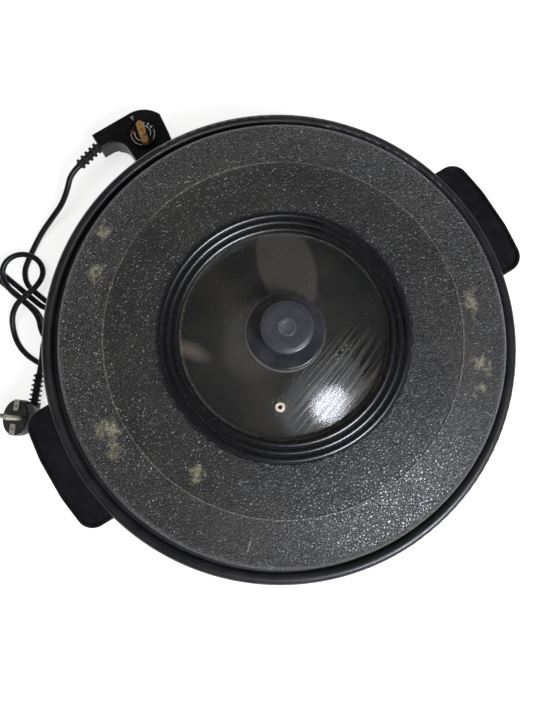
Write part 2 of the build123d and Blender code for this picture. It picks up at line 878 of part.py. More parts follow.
def ribbed_relief(start, direction, length, ribs):
    """A moulded strain relief: a tapered core with round ribs, bored for the cord."""
    plane = Plane(origin=start, z_dir=direction)
    tip = cord_radius + relief_tip_wall
    pitch = length / ribs
    width = pitch * relief_rib_share
    profile = [(0, 0, 0), (relief_core_radius, 0, 0)]
    for index in range(ribs):
        share = index / ribs
        core = relief_core_radius * (1 - share) + tip * share
        rib = relief_rib_radius * (1 - share) + (tip + relief_rib_rise) * share
        low = index * pitch + (pitch - width) / 2
        profile += [(core, 0, low), (rib, 0, low), (rib, 0, low + width), (core, 0, low + width)]
    profile += [(tip, 0, length), (0, 0, length)]
    body = revolve(make_face(Polyline(*profile, close=True)), axis=Axis.Z)
    return plane.location * body


def relief_solid(relief_bore=False):
    """The housing's relief with its collar inside the arm wall, or the room that the collar takes."""
    start = Vector(-arm_reach, relief_y, relief_height)
    inward = rod(start, (1, 0, 0), relief_core_radius + (relief_fit if relief_bore else 0), housing_wall)
    if relief_bore:
        return inward
    collar = rod(start + Vector(housing_wall, 0, 0), (1, 0, 0), relief_flange_radius, housing_wall)
    return ribbed_relief(start, relief_direction(), relief_length, relief_ribs) + inward + collar


def grip_bar(height):
    """The pointer bar's plain shape, turned a little past the housing's mark."""
    outline = Rot(0, 0, grip_turn) * SlotOverall(grip_length, grip_width, 90)
    return Pos(0, dial_y, dial_top - grip_inset) * extrude(outline, amount=height)


def make_dial():
    """The turning disc with a raised hub, slotted for its grip."""
    disc = rod((0, dial_y, dial_floor), (0, 0, 1), dial_radius, dial_thickness)
    disc = fillet(disc.edges().sort_by(Axis.Z)[-1], 0.8)
    disc += rod((0, dial_y, dial_top), (0, 0, 1), dial_hub_radius, dial_hub_rise)
    disc -= rod((0, dial_y, 0), (0, 0, 1), shaft_radius + screw_bite, dial_floor + dial_thickness / 2)
    return disc - grip_bar(grip_height * 2)


def make_grip():
    """The pointer bar set into the dial."""
    bar = grip_bar(grip_height + grip_inset)
    return fillet(bar.edges().group_by(Axis.Z)[-1], grip_round)


def plug_plane():
    """The plug's face: X towards its cord, Z along its pins."""
    heading = math.radians(plug_heading)
    side = heading + math.pi / 2
    lean = math.sin(plug_tilt)
    pins = (lean * math.cos(side), lean * math.sin(side), math.cos(plug_tilt))
    return Plane(
        origin=(plug_x, plug_y, plug_height),
        x_dir=(math.cos(heading), math.sin(heading), 0),
        z_dir=pins,
    )


def make_plug():
    """The angled plug's body: round face, tapered back, side neck, pin and clip pockets."""
    body = turned(
        (0, 0, 0),
        (plug_radius, 0, 1.2),
        (plug_radius, -plug_face_depth, 2.5),
        (plug_rear_radius, -plug_depth, plug_rear_round),
        (0, -plug_depth, 0),
    )
    body += rod((0, 0, -plug_relief_depth), (1, 0, 0), plug_neck_radius, plug_relief_start)
    for side in (-1, 1):
        bore = pin_root_radius + screw_bite
        body -= rod((0, side * pin_spacing / 2, -pin_root), (0, 0, 1), bore, pin_root + 1)
        reach = plug_radius + 1
        outer = sorted((side * (plug_radius - clip_thickness - 0.1), side * reach))
        body -= block(outer, (-clip_width / 2, clip_width / 2), (-clip_side, 1))
    return plug_plane().location * body


def make_pins():
    """The plug's two round pins."""
    pins = []
    for side in (-1, 1):
        pin = rod((0, side * pin_spacing / 2, 0), (0, 0, 1), pin_radius, pin_length)
        pin = fillet(pin.edges().sort_by(Axis.Z)[-1], pin_tip_round)
        pin += rod((0, side * pin_spacing / 2, -pin_root), (0, 0, 1), pin_root_radius, pin_root)
        pins.append(plug_plane().location * pin)
    return pins


def make_clips():
    """The two earth strips: up the side of the plug and over its face."""
    clips = []
    for side in (-1, 1):
        edge = plug_radius - 0.1
        half = clip_width / 2
        wall_x = sorted((side * edge, side * (edge - clip_thickness)))
        upright = block(wall_x, (-half, half), (-clip_side, clip_thickness))
        face_x = sorted((side * edge, side * (edge - clip_length)))
        clip = upright + block(face_x, (-half, half), (0, clip_thickness))
        clip -= rod((side * (edge - clip_length * 0.6), 0, -1), (0, 0, 1), 1.2, 3)
        clips.append(plug_plane().location * clip)
    return clips


def make_plug_relief():
    """The plug's ribbed strain relief."""
    relief = ribbed_relief(
        (plug_relief_start, 0, -plug_relief_depth), (1, 0, 0), plug_relief_length, plug_relief_ribs
    )
    return plug_plane().location * relief


def hank_point(along, across, height):
    """A point given along the hank, across it and above the table."""
    angle = math.radians(hank_angle)
    x = hank_x + along * math.cos(angle) - across * math.sin(angle)
    y = hank_y + along * math.sin(angle) + across * math.cos(angle)
    return Vector(x, y, height)


hank_forward = hank_point(1, 0, 0) - hank_point(0, 0, 0)


def hank_edges():
    """One and a half loops in two layers, each run drawn in alike along the waist."""
    low = cord_radius
    high = cord_radius + layer_pitch
    inner = hank_axis + hank_fold
    outer = inner + strand_pitch
    far_side = hank_axis - hank_fold
    folds = [
        (hank_near, outer, far_side, low, low),
        (hank_far, far_side, inner, low, high),
        (hank_near, inner, far_side, high, high),
    ]
    waist = hank_point(waist_near, outer - waist_draw, low)
    edges = [Line(waist - hank_forward * cord_diameter, waist)]
    edges += s_bend(waist, hank_point(hank_near, outer, low), hank_forward)
    for end, first, second, level, goal in folds:
        way = 1 if end == hank_near else -1
        heading = hank_forward * -way
        radius = abs(second - first) / 2
        tip = hank_point(end + way * radius, (first + second) / 2, level)
        edges.append(ThreePointArc(hank_point(end, first, level), tip, hank_point(end, second, level)))
        drawn = second + (waist_draw if second < hank_axis else -waist_draw)
        entering, leaving = (waist_near, waist_far) if way > 0 else (waist_far, waist_near)
        waist = hank_point(entering, drawn, level)
        edges += s_bend(hank_point(end, second, level), waist, heading)
        if first == inner:
            edges.append(Line(waist, hank_point(0, drawn, level)))
        else:
            edges.append(Line(waist, hank_point(leaving, drawn, level)))
            next_end = hank_far if way > 0 else hank_near
            edges += s_bend(hank_point(leaving, drawn, level), hank_point(next_end, second, goal), heading)
    return edges


def s_bend(start, end, heading):
    """Two equal arcs, tangent to the heading at both ends."""
    chord = (end - start) * 0.5
    way = chord.normalized()
    turn = math.radians(heading.get_angle(chord))
    side = (heading - way * heading.dot(way)).normalized()
    bulge = side * (chord.length / 2 * math.tan(turn / 2))
    middle = start + chord
    first = ThreePointArc(start, start + chord * 0.5 + bulge, middle)
    return [first, ThreePointArc(middle, middle + chord * 0.5 - bulge, end)]


def corner_radii(points):
    """The largest arc that the two runs at each corner allow."""
    radii = []
    for before, corner, after in zip(points, points[1:], points[2:]):
        run_in = corner - before
        run_out = after - corner
        turn = math.radians(run_in.get_angle(run_out))
        radii.append(0.45 * min(run_in.length, run_out.length) / math.tan(turn / 2))
    return radii


def cord_tube(name, points):
    """A free stretch of cord: straight runs joined by tangent arcs."""
    points = [Vector(*point) for point in points]
    radii = corner_radii(points)
    path = FilletPolyline(*points, radius=radii)
    section = Plane(origin=points[0], z_dir=points[1] - points[0]) * Circle(cord_radius)
    tube = sweep(section, path=path)
    print(name, "length", round(path.length, 1), "radii", [round(radius, 1) for radius in radii])
    share = tube.volume / (math.pi * cord_radius**2 * path.length)
    print(name, "volume over section times length", round(share, 4))
    return tube


def hank_tube():
    """The hank as one unbroken tube, with its length and least gap to itself printed."""
    edges = hank_edges()
    path = Wire(edges)
    start = edges[0] @ 0
    section = Plane(origin=start, z_dir=edges[0] % 0) * Circle(cord_radius)
    tube = sweep(section, path=path)
    count = int(path.length / 2)
    samples = [path.position_at(index / count) for index in range(count + 1)]
    skip = int(math.pi * hank_fold / 2 / (path.length / count))
    least = min(
        (samples[first] - samples[second]).length
        for first in range(0, count + 1)
        for second in range(first + skip, count + 1)
    )
    print("cord_hank length", round(path.length, 1), "least gap", round(least - cord_diameter, 2))
    return tube, edges[0] @ 0, edges[-1] @ 1


relief_start = Vector(-arm_reach, relief_y, relief_height)
relief_end = relief_start + relief_direction() * relief_length
plug_cord_point = plug_plane().from_local_coords(
    Vector(plug_relief_start + plug_relief_length, 0, -plug_relief_depth)
)
plug_cord_way = plug_plane().x_dir

hank_solid, hank_entry, hank_exit = hank_tube()

# From the housing down to the table and into the hank's waist
upper_route = [
    relief_end,
    relief_end + relief_direction() * 12.6,
    hank_point(-27.2, 114.4, 25.2),
    hank_point(-24.8, 98.8, 17.5),
    hank_point(-26.3, 81.7, 11.0),
    hank_point(-26.8, 63.7, 5.8),
    hank_point(-24.0, 47.4, cord_radius),
    hank_point(-19.4, 33.0, cord_radius),
    hank_point(-14.0, 19.2, cord_radius),
    hank_point(-1.4, 9.7, cord_radius),
    hank_entry,
]

# Out of the waist, round over it, through the lower loop and under the rim to the plug
lower_route = [
    hank_exit,
    hank_point(-8.0, -4.7, cord_radius + layer_pitch),
    hank_point(-22.2, -0.4, 11.6),
    hank_point(-29.6, 11.6, 14.6),
    hank_point(-28.0, 25.6, 15.0),
    hank_point(-18.4, 36.0, 13.6),
    hank_point(-4.2, 38.5, 11.8),
    hank_point(8.2, 31.6, 12.6),
    hank_point(13.4, 18.6, 15.6),
    hank_point(12.2, 4.2, 16.9),
    hank_point(9.6, -10.4, 15.8),
    hank_point(12.6, -24.9, 9.8),
    hank_point(22.6, -36.4, 4.4),
    hank_point(35.6, -43.8, cord_radius),
    hank_point(50.6, -45.8, cord_radius),
    hank_point(66.5, -43.6, cord_radius),
    hank_point(82.4, -39.6, cord_radius),
    hank_point(94.9, -31.6, 3.8),
    hank_point(99.9, -18.0, 6.6),
    hank_point(95.4, -4.4, 11.0),
    hank_point(83.6, 3.4, 15.2),
    hank_point(69.4, 2.4, 16.6),
    hank_point(58.8, -7.2, 16.6),
    hank_point(56.9, -21.6, 15.8),
    plug_cord_point + plug_cord_way * 16.0,
    plug_cord_point,
]


def make_pan_group():
    """Everything fixed to the pan."""
    save("pan_shell", make_pan())
    save("heating_element", element_tube(element_radius))
    bore = element_radius + element_clearance
    for name, side in (("left", -1), ("right", 1)):
        x = side * element_lead_offset
        pin = rod((x, element_lead_end, terminal_height), (0, 1, 0), terminal_radius, terminal_length)
        save("terminal_pin_" + name, fillet(pin.edges().sort_by(Axis.Y)[-1], terminal_radius / 2))
        start = (x, element_lead_end - insulator_length, terminal_height)
        save("insulator_" + name, rod(start, (0, 1, 0), bore + insulator_wall, insulator_length, bore))
    save("terminal_shroud", make_shroud())
    seat = floor_height - shroud_tab_thickness
    shroud_screws = []
    for side in (-1, 1):
        start = (side * shroud_tab_x, shroud_tab_y, seat)
        length = shroud_tab_thickness + screw_hole_depth / 3 - screw_clearance
        shroud_screws.append(screw(start, (0, 0, 1), screw_radius, screw_head_radius, screw_head_height, length))
    save("shroud_screws", *shroud_screws)
    grip = make_handle()
    save("handle_right", handle_place * grip)
    save("handle_left", handle_place * Rot(0, 0, 180) * grip)
    handle_screws = []
    for x in (-1, 1):
        for y in (-1, 1):
            start = (x * (handle_root + handle_root_wall), y * handle_screw_offset, handle_screw_height)
            length = handle_root_wall + handle_screw_length - 1
            fixing = screw(start, (-x, 0, 0), screw_radius, screw_head_radius, screw_head_height, length)
            handle_screws.append(handle_place * fixing)
    save("handle_screws", *handle_screws)
    foot_screws = []
    for index, (x, y) in enumerate(foot_points, start=1):
        save("foot_" + str(index), make_foot(x, y))
        save("foot_pad_" + str(index), make_pad(x, y))
        length = foot_height - foot_screw_seat + screw_hole_depth - 1
        foot_screws.append(
            screw((x, y, foot_screw_seat), (0, 0, 1), screw_radius, screw_head_radius, screw_head_height, length)
        )
    save("foot_screws", *foot_screws)


def make_lid_group():
    """The lid and everything that lifts with it, resting off the axis within its play."""
    save("lid_shell", lid_place * make_lid_shell())
    save("bezel_ring", lid_place * make_bezel())
    screws = []
    for x, y in bezel_screw_points():
        start = (x, y, flange_top - lid_wall)
        head = bezel_screw_radius * 2
        length = bezel_screw_length - 0.5
        screws.append(lid_place * screw(start, (0, 0, 1), bezel_screw_radius, head, head * 0.6, length))
    save("bezel_screws", *screws)
    save("glass_gasket", lid_place * make_gasket())
    save("lid_glass", lid_place * make_glass())
    save("vent_eyelet", lid_place * make_vent())
    bore = knob_screw_radius + screw_clearance
    seal = rod((0, 0, glass_crown), (0, 0, 1), knob_washer_radius, knob_seal_height, bore)
    save("knob_seal", lid_place * seal)
    save("knob_base", lid_place * make_knob_base())
    save("knob_top", lid_place * make_knob_top())
    save("knob_cap", lid_place * make_knob_cap())
    washer_top = under_glass - dome_drop(knob_washer_radius)
    washer = rod((0, 0, washer_top), (0, 0, -1), knob_washer_radius, knob_washer_height, bore)
    save("knob_washer", lid_place * washer)
    start = (0, 0, washer_top - knob_washer_height)
    length = knob_floor + knob_screw_bite - 1 - start[2]
    head = knob_screw_radius * 2
    save("knob_screw", lid_place * screw(start, (0, 0, 1), knob_screw_radius, head, head * 0.6, length))


def make_thermostat_group():
    """The plug-in thermostat, its dial, its cord and the plug."""
    save("thermostat_cover", make_cover())
    save("thermostat_base", make_base())
    screws = []
    head = housing_screw_radius * 2
    for seat in pillar_seats():
        length = housing_split - seat[2] + housing_screw_reach
        screws.append(screw(seat, (0, 0, 1), housing_screw_radius, head, head * 0.5, length))
    save("housing_screws", *screws)
    save("terminal_block", make_terminal_block())
    probe = rod((0, probe_tip, terminal_height), (0, 1, 0), probe_radius, block_end - probe_tip)
    save("probe_rod", fillet(probe.edges().sort_by(Axis.Y)[0], probe_radius * 0.6))
    for name, side in (("left", -1), ("right", 1)):
        start = (side * element_lead_offset, sleeve_start, terminal_height)
        bore = terminal_radius + sleeve_clearance
        save("contact_sleeve_" + name, rod(start, (0, 1, 0), bore + sleeve_wall, sleeve_length, bore))
    low = housing_bottom + housing_wall
    level = low + stack_height
    half = blade_width / 2
    save("switch_stack", rod((0, stack_y + stack_radius, low), (0, 0, 1), stack_radius, stack_height))
    save("switch_blade", block((-half, half), (stack_y, stack_y + blade_length), (level, level + blade_thickness)))
    shaft_top = dial_floor + dial_thickness / 2
    save("dial_shaft", rod((0, dial_y, shaft_end), (0, 0, 1), shaft_radius, shaft_top - shaft_end))
    save("dial", make_dial())
    save("dial_grip", make_grip())
    save("cord_relief", relief_solid())
    save("cord_upper", cord_tube("cord_upper", upper_route))
    save("cord_hank", hank_solid)
    save("cord_lower", cord_tube("cord_lower", lower_route))
    save("plug_relief", make_plug_relief())
    save("plug_body", make_plug())
    save("plug_pins", *make_pins())
    save("earth_clips", *make_clips())


make_pan_group()
make_lid_group()
make_thermostat_group()
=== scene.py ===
import math

import bmesh
import bpy
from bpy.props import FloatProperty, FloatVectorProperty, IntProperty, PointerProperty
from mathutils import Euler, Matrix, Vector


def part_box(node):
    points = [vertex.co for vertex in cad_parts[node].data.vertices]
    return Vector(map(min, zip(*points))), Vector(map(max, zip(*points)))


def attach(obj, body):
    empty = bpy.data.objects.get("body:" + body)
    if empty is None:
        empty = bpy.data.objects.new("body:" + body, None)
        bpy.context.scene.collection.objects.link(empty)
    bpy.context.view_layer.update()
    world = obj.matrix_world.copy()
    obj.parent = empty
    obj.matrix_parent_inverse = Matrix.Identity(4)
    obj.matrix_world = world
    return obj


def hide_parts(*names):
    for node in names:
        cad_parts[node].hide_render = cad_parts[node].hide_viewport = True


bl_info = {
    "name": "Round multicooker",
    "version": (1, 0, 0),
    "blender": (4, 5, 0),
    "location": "View3D > Sidebar > Cooker",
    "description": "Dresses a round countertop multicooker: pan, lid, glass, knob, thermostat and cord",
    "category": "Object",
}

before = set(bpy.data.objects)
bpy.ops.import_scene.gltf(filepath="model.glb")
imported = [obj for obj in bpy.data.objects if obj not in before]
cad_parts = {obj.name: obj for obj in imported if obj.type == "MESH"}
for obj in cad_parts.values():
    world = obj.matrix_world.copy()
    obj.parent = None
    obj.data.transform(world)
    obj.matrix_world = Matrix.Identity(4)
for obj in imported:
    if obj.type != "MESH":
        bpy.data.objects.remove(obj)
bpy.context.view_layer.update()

MM = 0.001
LID_LOW, LID_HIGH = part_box("lid_shell")
LID_CENTRE = (LID_LOW + LID_HIGH) / 2
LID_RADIUS = (LID_HIGH.x - LID_LOW.x) / 2
RING_LOW, RING_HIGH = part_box("bezel_ring")
RING_RADIUS = (RING_HIGH.x - RING_LOW.x) / 2
KNOB_LOW, KNOB_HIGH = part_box("knob_base")
KNOB_RADIUS = (KNOB_HIGH.x - KNOB_LOW.x) / 2
VENT_LOW, VENT_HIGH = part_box("vent_eyelet")
VENT_CENTRE = (VENT_LOW + VENT_HIGH) / 2
GRIP_LOW, GRIP_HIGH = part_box("dial_grip")
DIAL_CENTRE = (GRIP_LOW + GRIP_HIGH) / 2
HOUSING_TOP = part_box("thermostat_cover")[1].z

# Shader nodes that every finish uses
PLACE = "ShaderNodeTexCoord"
MAPPING = "ShaderNodeMapping"
NOISE = "ShaderNodeTexNoise"
CELLS = "ShaderNodeTexVoronoi"
RANGE = "ShaderNodeMapRange"
MATH = "ShaderNodeMath"
VECTOR = "ShaderNodeVectorMath"
BLEND = "ShaderNodeMix"
BUMP = "ShaderNodeBump"
SURFACE = "ShaderNodeBsdfPrincipled"
OUTPUT = "ShaderNodeOutputMaterial"
BACKGROUND = "ShaderNodeBackground"
# A colour blend's sockets: its two colours, and the blended one that it gives out. Socket 0 is its factor
FROM = 6
TO = 7
BLENDED = 2


def linear(text):
    """An sRGB hex colour as linear red, green, blue and alpha."""
    channels = [int(text[place:place + 2], 16) / 255 for place in (1, 3, 5)]
    return [c / 12.92 if c <= 0.04045 else ((c + 0.055) / 1.055) ** 2.4 for c in channels] + [1.0]


def add(tree, kind, inputs=None, output=0, **settings):
    """Add a node with its settings, fill or link its inputs, and give back one of its outputs."""
    made = tree.nodes.new(kind)
    for name, value in settings.items():
        setattr(made, name, value)
    for place, value in (inputs or {}).items():
        if isinstance(value, bpy.types.NodeSocket):
            tree.links.new(value, made.inputs[place])
        else:
            made.inputs[place].default_value = value
    return made.outputs[output] if made.outputs else None


def per_metre(size_mm):
    """The texture scale at which a blotch or a cell is size_mm across."""
    return 1.0 / (size_mm * MM)


def blank(name):
    """A material with an empty node tree."""
    material = bpy.data.materials.new(name)
    material.use_nodes = True
    material.node_tree.nodes.clear()
    return material, material.node_tree


def from_axis(tree, place, centre):
    """Distance in metres from an upright axis through a centre."""
    moved = add(tree, VECTOR, {0: place, 1: centre}, operation="SUBTRACT")
    flat = add(tree, VECTOR, {0: moved, 1: (1.0, 1.0, 0.0)}, operation="MULTIPLY")
    return add(tree, VECTOR, {0: flat}, output="Value", operation="LENGTH")


def patch(tree, place, centre, half_length, half_width=None, angle=0.0, edge=0.5):
    """An oval patch seen from above, in millimetres round a centre: 1 inside, fading to 0 at its rim."""
    size = (half_length * MM, (half_width or half_length) * MM, 1.0)
    turned = add(tree, MAPPING, {"Vector": place, "Location": tuple(centre), "Rotation": (0.0, 0.0, angle),
                                 "Scale": size}, vector_type="TEXTURE")
    flat = add(tree, VECTOR, {0: turned, 1: (1.0, 1.0, 0.0)}, operation="MULTIPLY")
    away = add(tree, VECTOR, {0: flat}, output="Value", operation="LENGTH")
    return add(tree, RANGE, {"Value": away, "From Min": 1.0, "From Max": edge})


# Finishes

# Indices of refraction. Those of enamel, ring and knob are set above the real materials' own, because the
# drawn grain and grime spread the window's light more than real ones do; housing and glass a little below
PAINT_INDEX = 1.6
ENAMEL_INDEX = 2.1
RING_INDEX = 1.75
KNOB_INDEX = 1.7
HOUSING_INDEX = 1.42
GLASS_INDEX = 1.42


def coated_casting():
    """Baked satin paint on cast aluminium: near-black, softly shining, faint orange peel, grey dust."""
    material, tree = blank("baked satin paint on aluminium")
    place = add(tree, PLACE, output="Object")
    dust = add(tree, NOISE, {"Vector": place, "Scale": per_metre(34.0), "Detail": 5.0, "Roughness": 0.65})
    dust = add(tree, RANGE, {"Value": dust, "From Min": 0.45, "From Max": 0.75})
    specks = add(tree, NOISE, {"Vector": place, "Scale": per_metre(1.3), "Detail": 2.0})
    specks = add(tree, RANGE, {"Value": specks, "From Min": 0.62, "From Max": 0.74})
    film = add(tree, MATH, {0: dust, 1: specks}, operation="ADD")
    film = add(tree, MATH, {0: film, 1: 0.4}, operation="MULTIPLY")
    colour = add(tree, BLEND, {0: film, FROM: linear("#19191b"), TO: linear("#3d3c3a")},
                 BLENDED, data_type="RGBA")
    rub = add(tree, NOISE, {"Vector": place, "Scale": per_metre(12.0), "Detail": 4.0})
    rough = add(tree, RANGE, {"Value": rub, "From Min": 0.3, "From Max": 0.7, "To Min": 0.3,
                              "To Max": 0.44})
    peel = add(tree, NOISE, {"Vector": place, "Scale": per_metre(1.8), "Detail": 2.0})
    peel = add(tree, BUMP, {"Height": peel, "Distance": 0.06 * MM, "Strength": 0.6})
    shader = add(tree, SURFACE, {"Base Color": colour, "Roughness": rough, "Normal": peel,
                                 "IOR": PAINT_INDEX})
    add(tree, OUTPUT, {"Surface": shader})
    return material


# Chalky spills on the lid, in millimetres from its axis: along X, along Y, reach
LID_SPILLS = (
    (155.0, -66.0, 11.2),
    (131.0, -114.5, 9.8),
    (118.5, -132.5, 8.4),
    (-83.0, 165.5, 9.1),
    (-111.5, 135.0, 9.8),
    (-170.0, 11.5, 14.0),
    (-177.0, -4.0, 9.8),
    (-126.0, -60.0, 8.4),
)
# A pale line along the outer side of the lid's fine groove, of this radius: dust, and painted highlight of
# its edge
DUST_AND_HIGHLIGHT_RADIUS = 156.3 * MM
SCRATCH_MIDDLE = Vector((-121.0, -133.5, 0.0)) * MM
SCRATCH_ANGLE = math.radians(39.0)


def grained_enamel():
    """Leather-grained black enamel on pressed sheet: glinting pebbles, painted glints on their tops,
    painted shade in the valleys, worn rim.
    """
    material, tree = blank("grained enamel on pressed sheet")
    place = add(tree, PLACE, output="Object")
    axis = from_axis(tree, place, LID_CENTRE)
    # Pebbles of 2.7 mm, nearly twice as coarse as real ones so that they show, and pushed out of line so
    # that they run together
    bend = add(tree, NOISE, {"Vector": place, "Scale": per_metre(2.8), "Detail": 2.0}, "Color")
    pushed = add(tree, VECTOR, {0: bend, 1: (2.0 * MM,) * 3, 2: place}, operation="MULTIPLY_ADD")
    cells = add(tree, CELLS, {"Vector": pushed, "Scale": per_metre(2.7)}, feature="DISTANCE_TO_EDGE")
    pebble = add(tree, RANGE, {"Value": cells, "From Min": 0.03, "From Max": 0.24})
    fine = add(tree, NOISE, {"Vector": place, "Scale": per_metre(1.6), "Detail": 2.0, "Roughness": 0.55})
    relief = add(tree, MATH, {0: fine, 1: 0.5, 2: pebble}, operation="MULTIPLY_ADD")
    # Tops lighter as wear and as painted glints, valleys near black as painted shade; more in some places
    # than in others
    cloud = add(tree, NOISE, {"Vector": place, "Scale": per_metre(70.0), "Detail": 5.0, "Roughness": 0.62})
    cloud = add(tree, RANGE, {"Value": cloud, "From Min": 0.4, "From Max": 0.62, "To Min": 0.1})
    # rubbed: wear and painted glints on the pebble tops
    rubbed = add(tree, MATH, {0: pebble, 1: cloud}, operation="MULTIPLY")
    colour = add(tree, BLEND, {0: rubbed, FROM: linear("#020202"), TO: linear("#332f28")},
                 BLENDED, data_type="RGBA")
    # Pale crumbs, about a millimetre across
    crumbs = add(tree, NOISE, {"Vector": place, "Scale": per_metre(2.3), "Detail": 2.0, "Roughness": 0.6})
    crumbs = add(tree, RANGE, {"Value": crumbs, "From Min": 0.62, "From Max": 0.72})
    crumbs = add(tree, MATH, {0: crumbs, 1: cloud}, operation="MULTIPLY")
    colour = add(tree, BLEND, {0: crumbs, FROM: colour, TO: linear("#625c4f")}, BLENDED, data_type="RGBA")
    # Old chalky spills and one pale scratch
    ragged = add(tree, NOISE, {"Vector": place, "Scale": per_metre(5.0), "Detail": 5.0, "Roughness": 0.75})
    grit = add(tree, RANGE, {"Value": ragged, "From Min": 0.38, "From Max": 0.56})
    stir = add(tree, NOISE, {"Vector": place, "Scale": per_metre(9.0), "Detail": 3.0}, "Color")
    stir = add(tree, VECTOR, {0: stir, 1: (0.5, 0.5, 0.5)}, operation="SUBTRACT")
    stirred = add(tree, VECTOR, {0: stir, 1: (30.0 * MM, 30.0 * MM, 0.0), 2: place},
                  operation="MULTIPLY_ADD")
    chalk = patch(tree, place, LID_CENTRE + SCRATCH_MIDDLE, 9.0, 0.6, SCRATCH_ANGLE)
    for across, along, reach in LID_SPILLS:
        spot = patch(tree, stirred, LID_CENTRE + Vector((across, along, 0.0)) * MM, reach, edge=0.2)
        spot = add(tree, MATH, {0: spot, 1: grit}, operation="MULTIPLY")
        chalk = add(tree, MATH, {0: chalk, 1: spot}, operation="MAXIMUM")
    colour = add(tree, BLEND, {0: chalk, FROM: colour, TO: linear("#a39b7e")}, BLENDED, data_type="RGBA")
    # The pale line, dust and painted highlight of the groove's edge, thicker where the cloud is
    aside = add(tree, MATH, {0: axis, 1: DUST_AND_HIGHLIGHT_RADIUS}, operation="SUBTRACT")
    aside = add(tree, MATH, {0: aside}, operation="ABSOLUTE")
    groove = add(tree, RANGE, {"Value": aside, "From Min": 1.2 * MM, "From Max": 0.5 * MM})
    drift = add(tree, RANGE, {"Value": cloud, "To Min": 0.45})
    groove = add(tree, MATH, {0: groove, 1: drift}, operation="MULTIPLY")
    colour = add(tree, BLEND, {0: groove, FROM: colour, TO: linear("#6f6b61")}, BLENDED, data_type="RGBA")
    # Paint worn to tan along the outer edge
    edge = add(tree, RANGE, {"Value": axis, "From Min": LID_RADIUS - 1.6 * MM,
                             "From Max": LID_RADIUS - 0.5 * MM})
    wear = add(tree, NOISE, {"Vector": place, "Scale": per_metre(9.0), "Detail": 4.0})
    wear = add(tree, RANGE, {"Value": wear, "From Min": 0.3, "From Max": 0.62, "To Min": 0.2,
                             "To Max": 0.8})
    edge = add(tree, MATH, {0: edge, 1: wear}, operation="MULTIPLY")
    colour = add(tree, BLEND, {0: edge, FROM: colour, TO: linear("#6b665c")}, BLENDED, data_type="RGBA")
    # The pebbles' tops are polished by hands and cloths, and the valleys are dull
    rough = add(tree, RANGE, {"Value": relief, "From Min": 0.3, "From Max": 1.2, "To Min": 0.44,
                              "To Max": 0.34})
    surface = add(tree, BUMP, {"Height": relief, "Distance": 0.78 * MM, "Strength": 1.0})
    shader = add(tree, SURFACE, {"Base Color": colour, "Roughness": rough, "Normal": surface,
                                 "IOR": ENAMEL_INDEX})
    add(tree, OUTPUT, {"Surface": shader})
    return material


def moulded_phenolic(name, deep, worn, smooth, index=1.5):
    """Moulded phenolic: dark, satin, with faint flow mottling, fine scuffs and dust of handling."""
    material, tree = blank(name)
    place = add(tree, PLACE, output="Object")
    dust = add(tree, NOISE, {"Vector": place, "Scale": per_metre(22.0), "Detail": 5.0, "Roughness": 0.65})
    dust = add(tree, RANGE, {"Value": dust, "From Min": 0.45, "From Max": 0.75, "To Max": 0.5})
    specks = add(tree, NOISE, {"Vector": place, "Scale": per_metre(1.0), "Detail": 2.0})
    specks = add(tree, RANGE, {"Value": specks, "From Min": 0.64, "From Max": 0.74, "To Max": 0.5})
    film = add(tree, MATH, {0: dust, 1: specks}, operation="ADD")
    colour = add(tree, BLEND, {0: film, FROM: linear(deep), TO: linear(worn)}, BLENDED, data_type="RGBA")
    rub = add(tree, NOISE, {"Vector": place, "Scale": per_metre(7.0), "Detail": 4.0})
    rough = add(tree, RANGE, {"Value": rub, "From Min": 0.3, "From Max": 0.7, "To Min": smooth - 0.05,
                              "To Max": smooth + 0.1})
    skin = add(tree, NOISE, {"Vector": place, "Scale": per_metre(1.4), "Detail": 3.0})
    skin = add(tree, BUMP, {"Height": skin, "Distance": 0.03 * MM, "Strength": 0.6})
    shader = add(tree, SURFACE, {"Base Color": colour, "Roughness": rough, "Normal": skin, "IOR": index})
    add(tree, OUTPUT, {"Surface": shader})
    return material


# The clamping ring: its round ridges on top, and the step below that bears on the seal
RIDGES = 3
RIDGE_STEPS = 14
RIDGE_INNER = 91.0 * MM
RIDGE_RISE = 2.0 * MM
RIDGE_PITCH = (RING_RADIUS - RIDGE_INNER) / RIDGES
SEAL_TOP = 106.3 * MM
SEAL_OUTER = 96.5 * MM


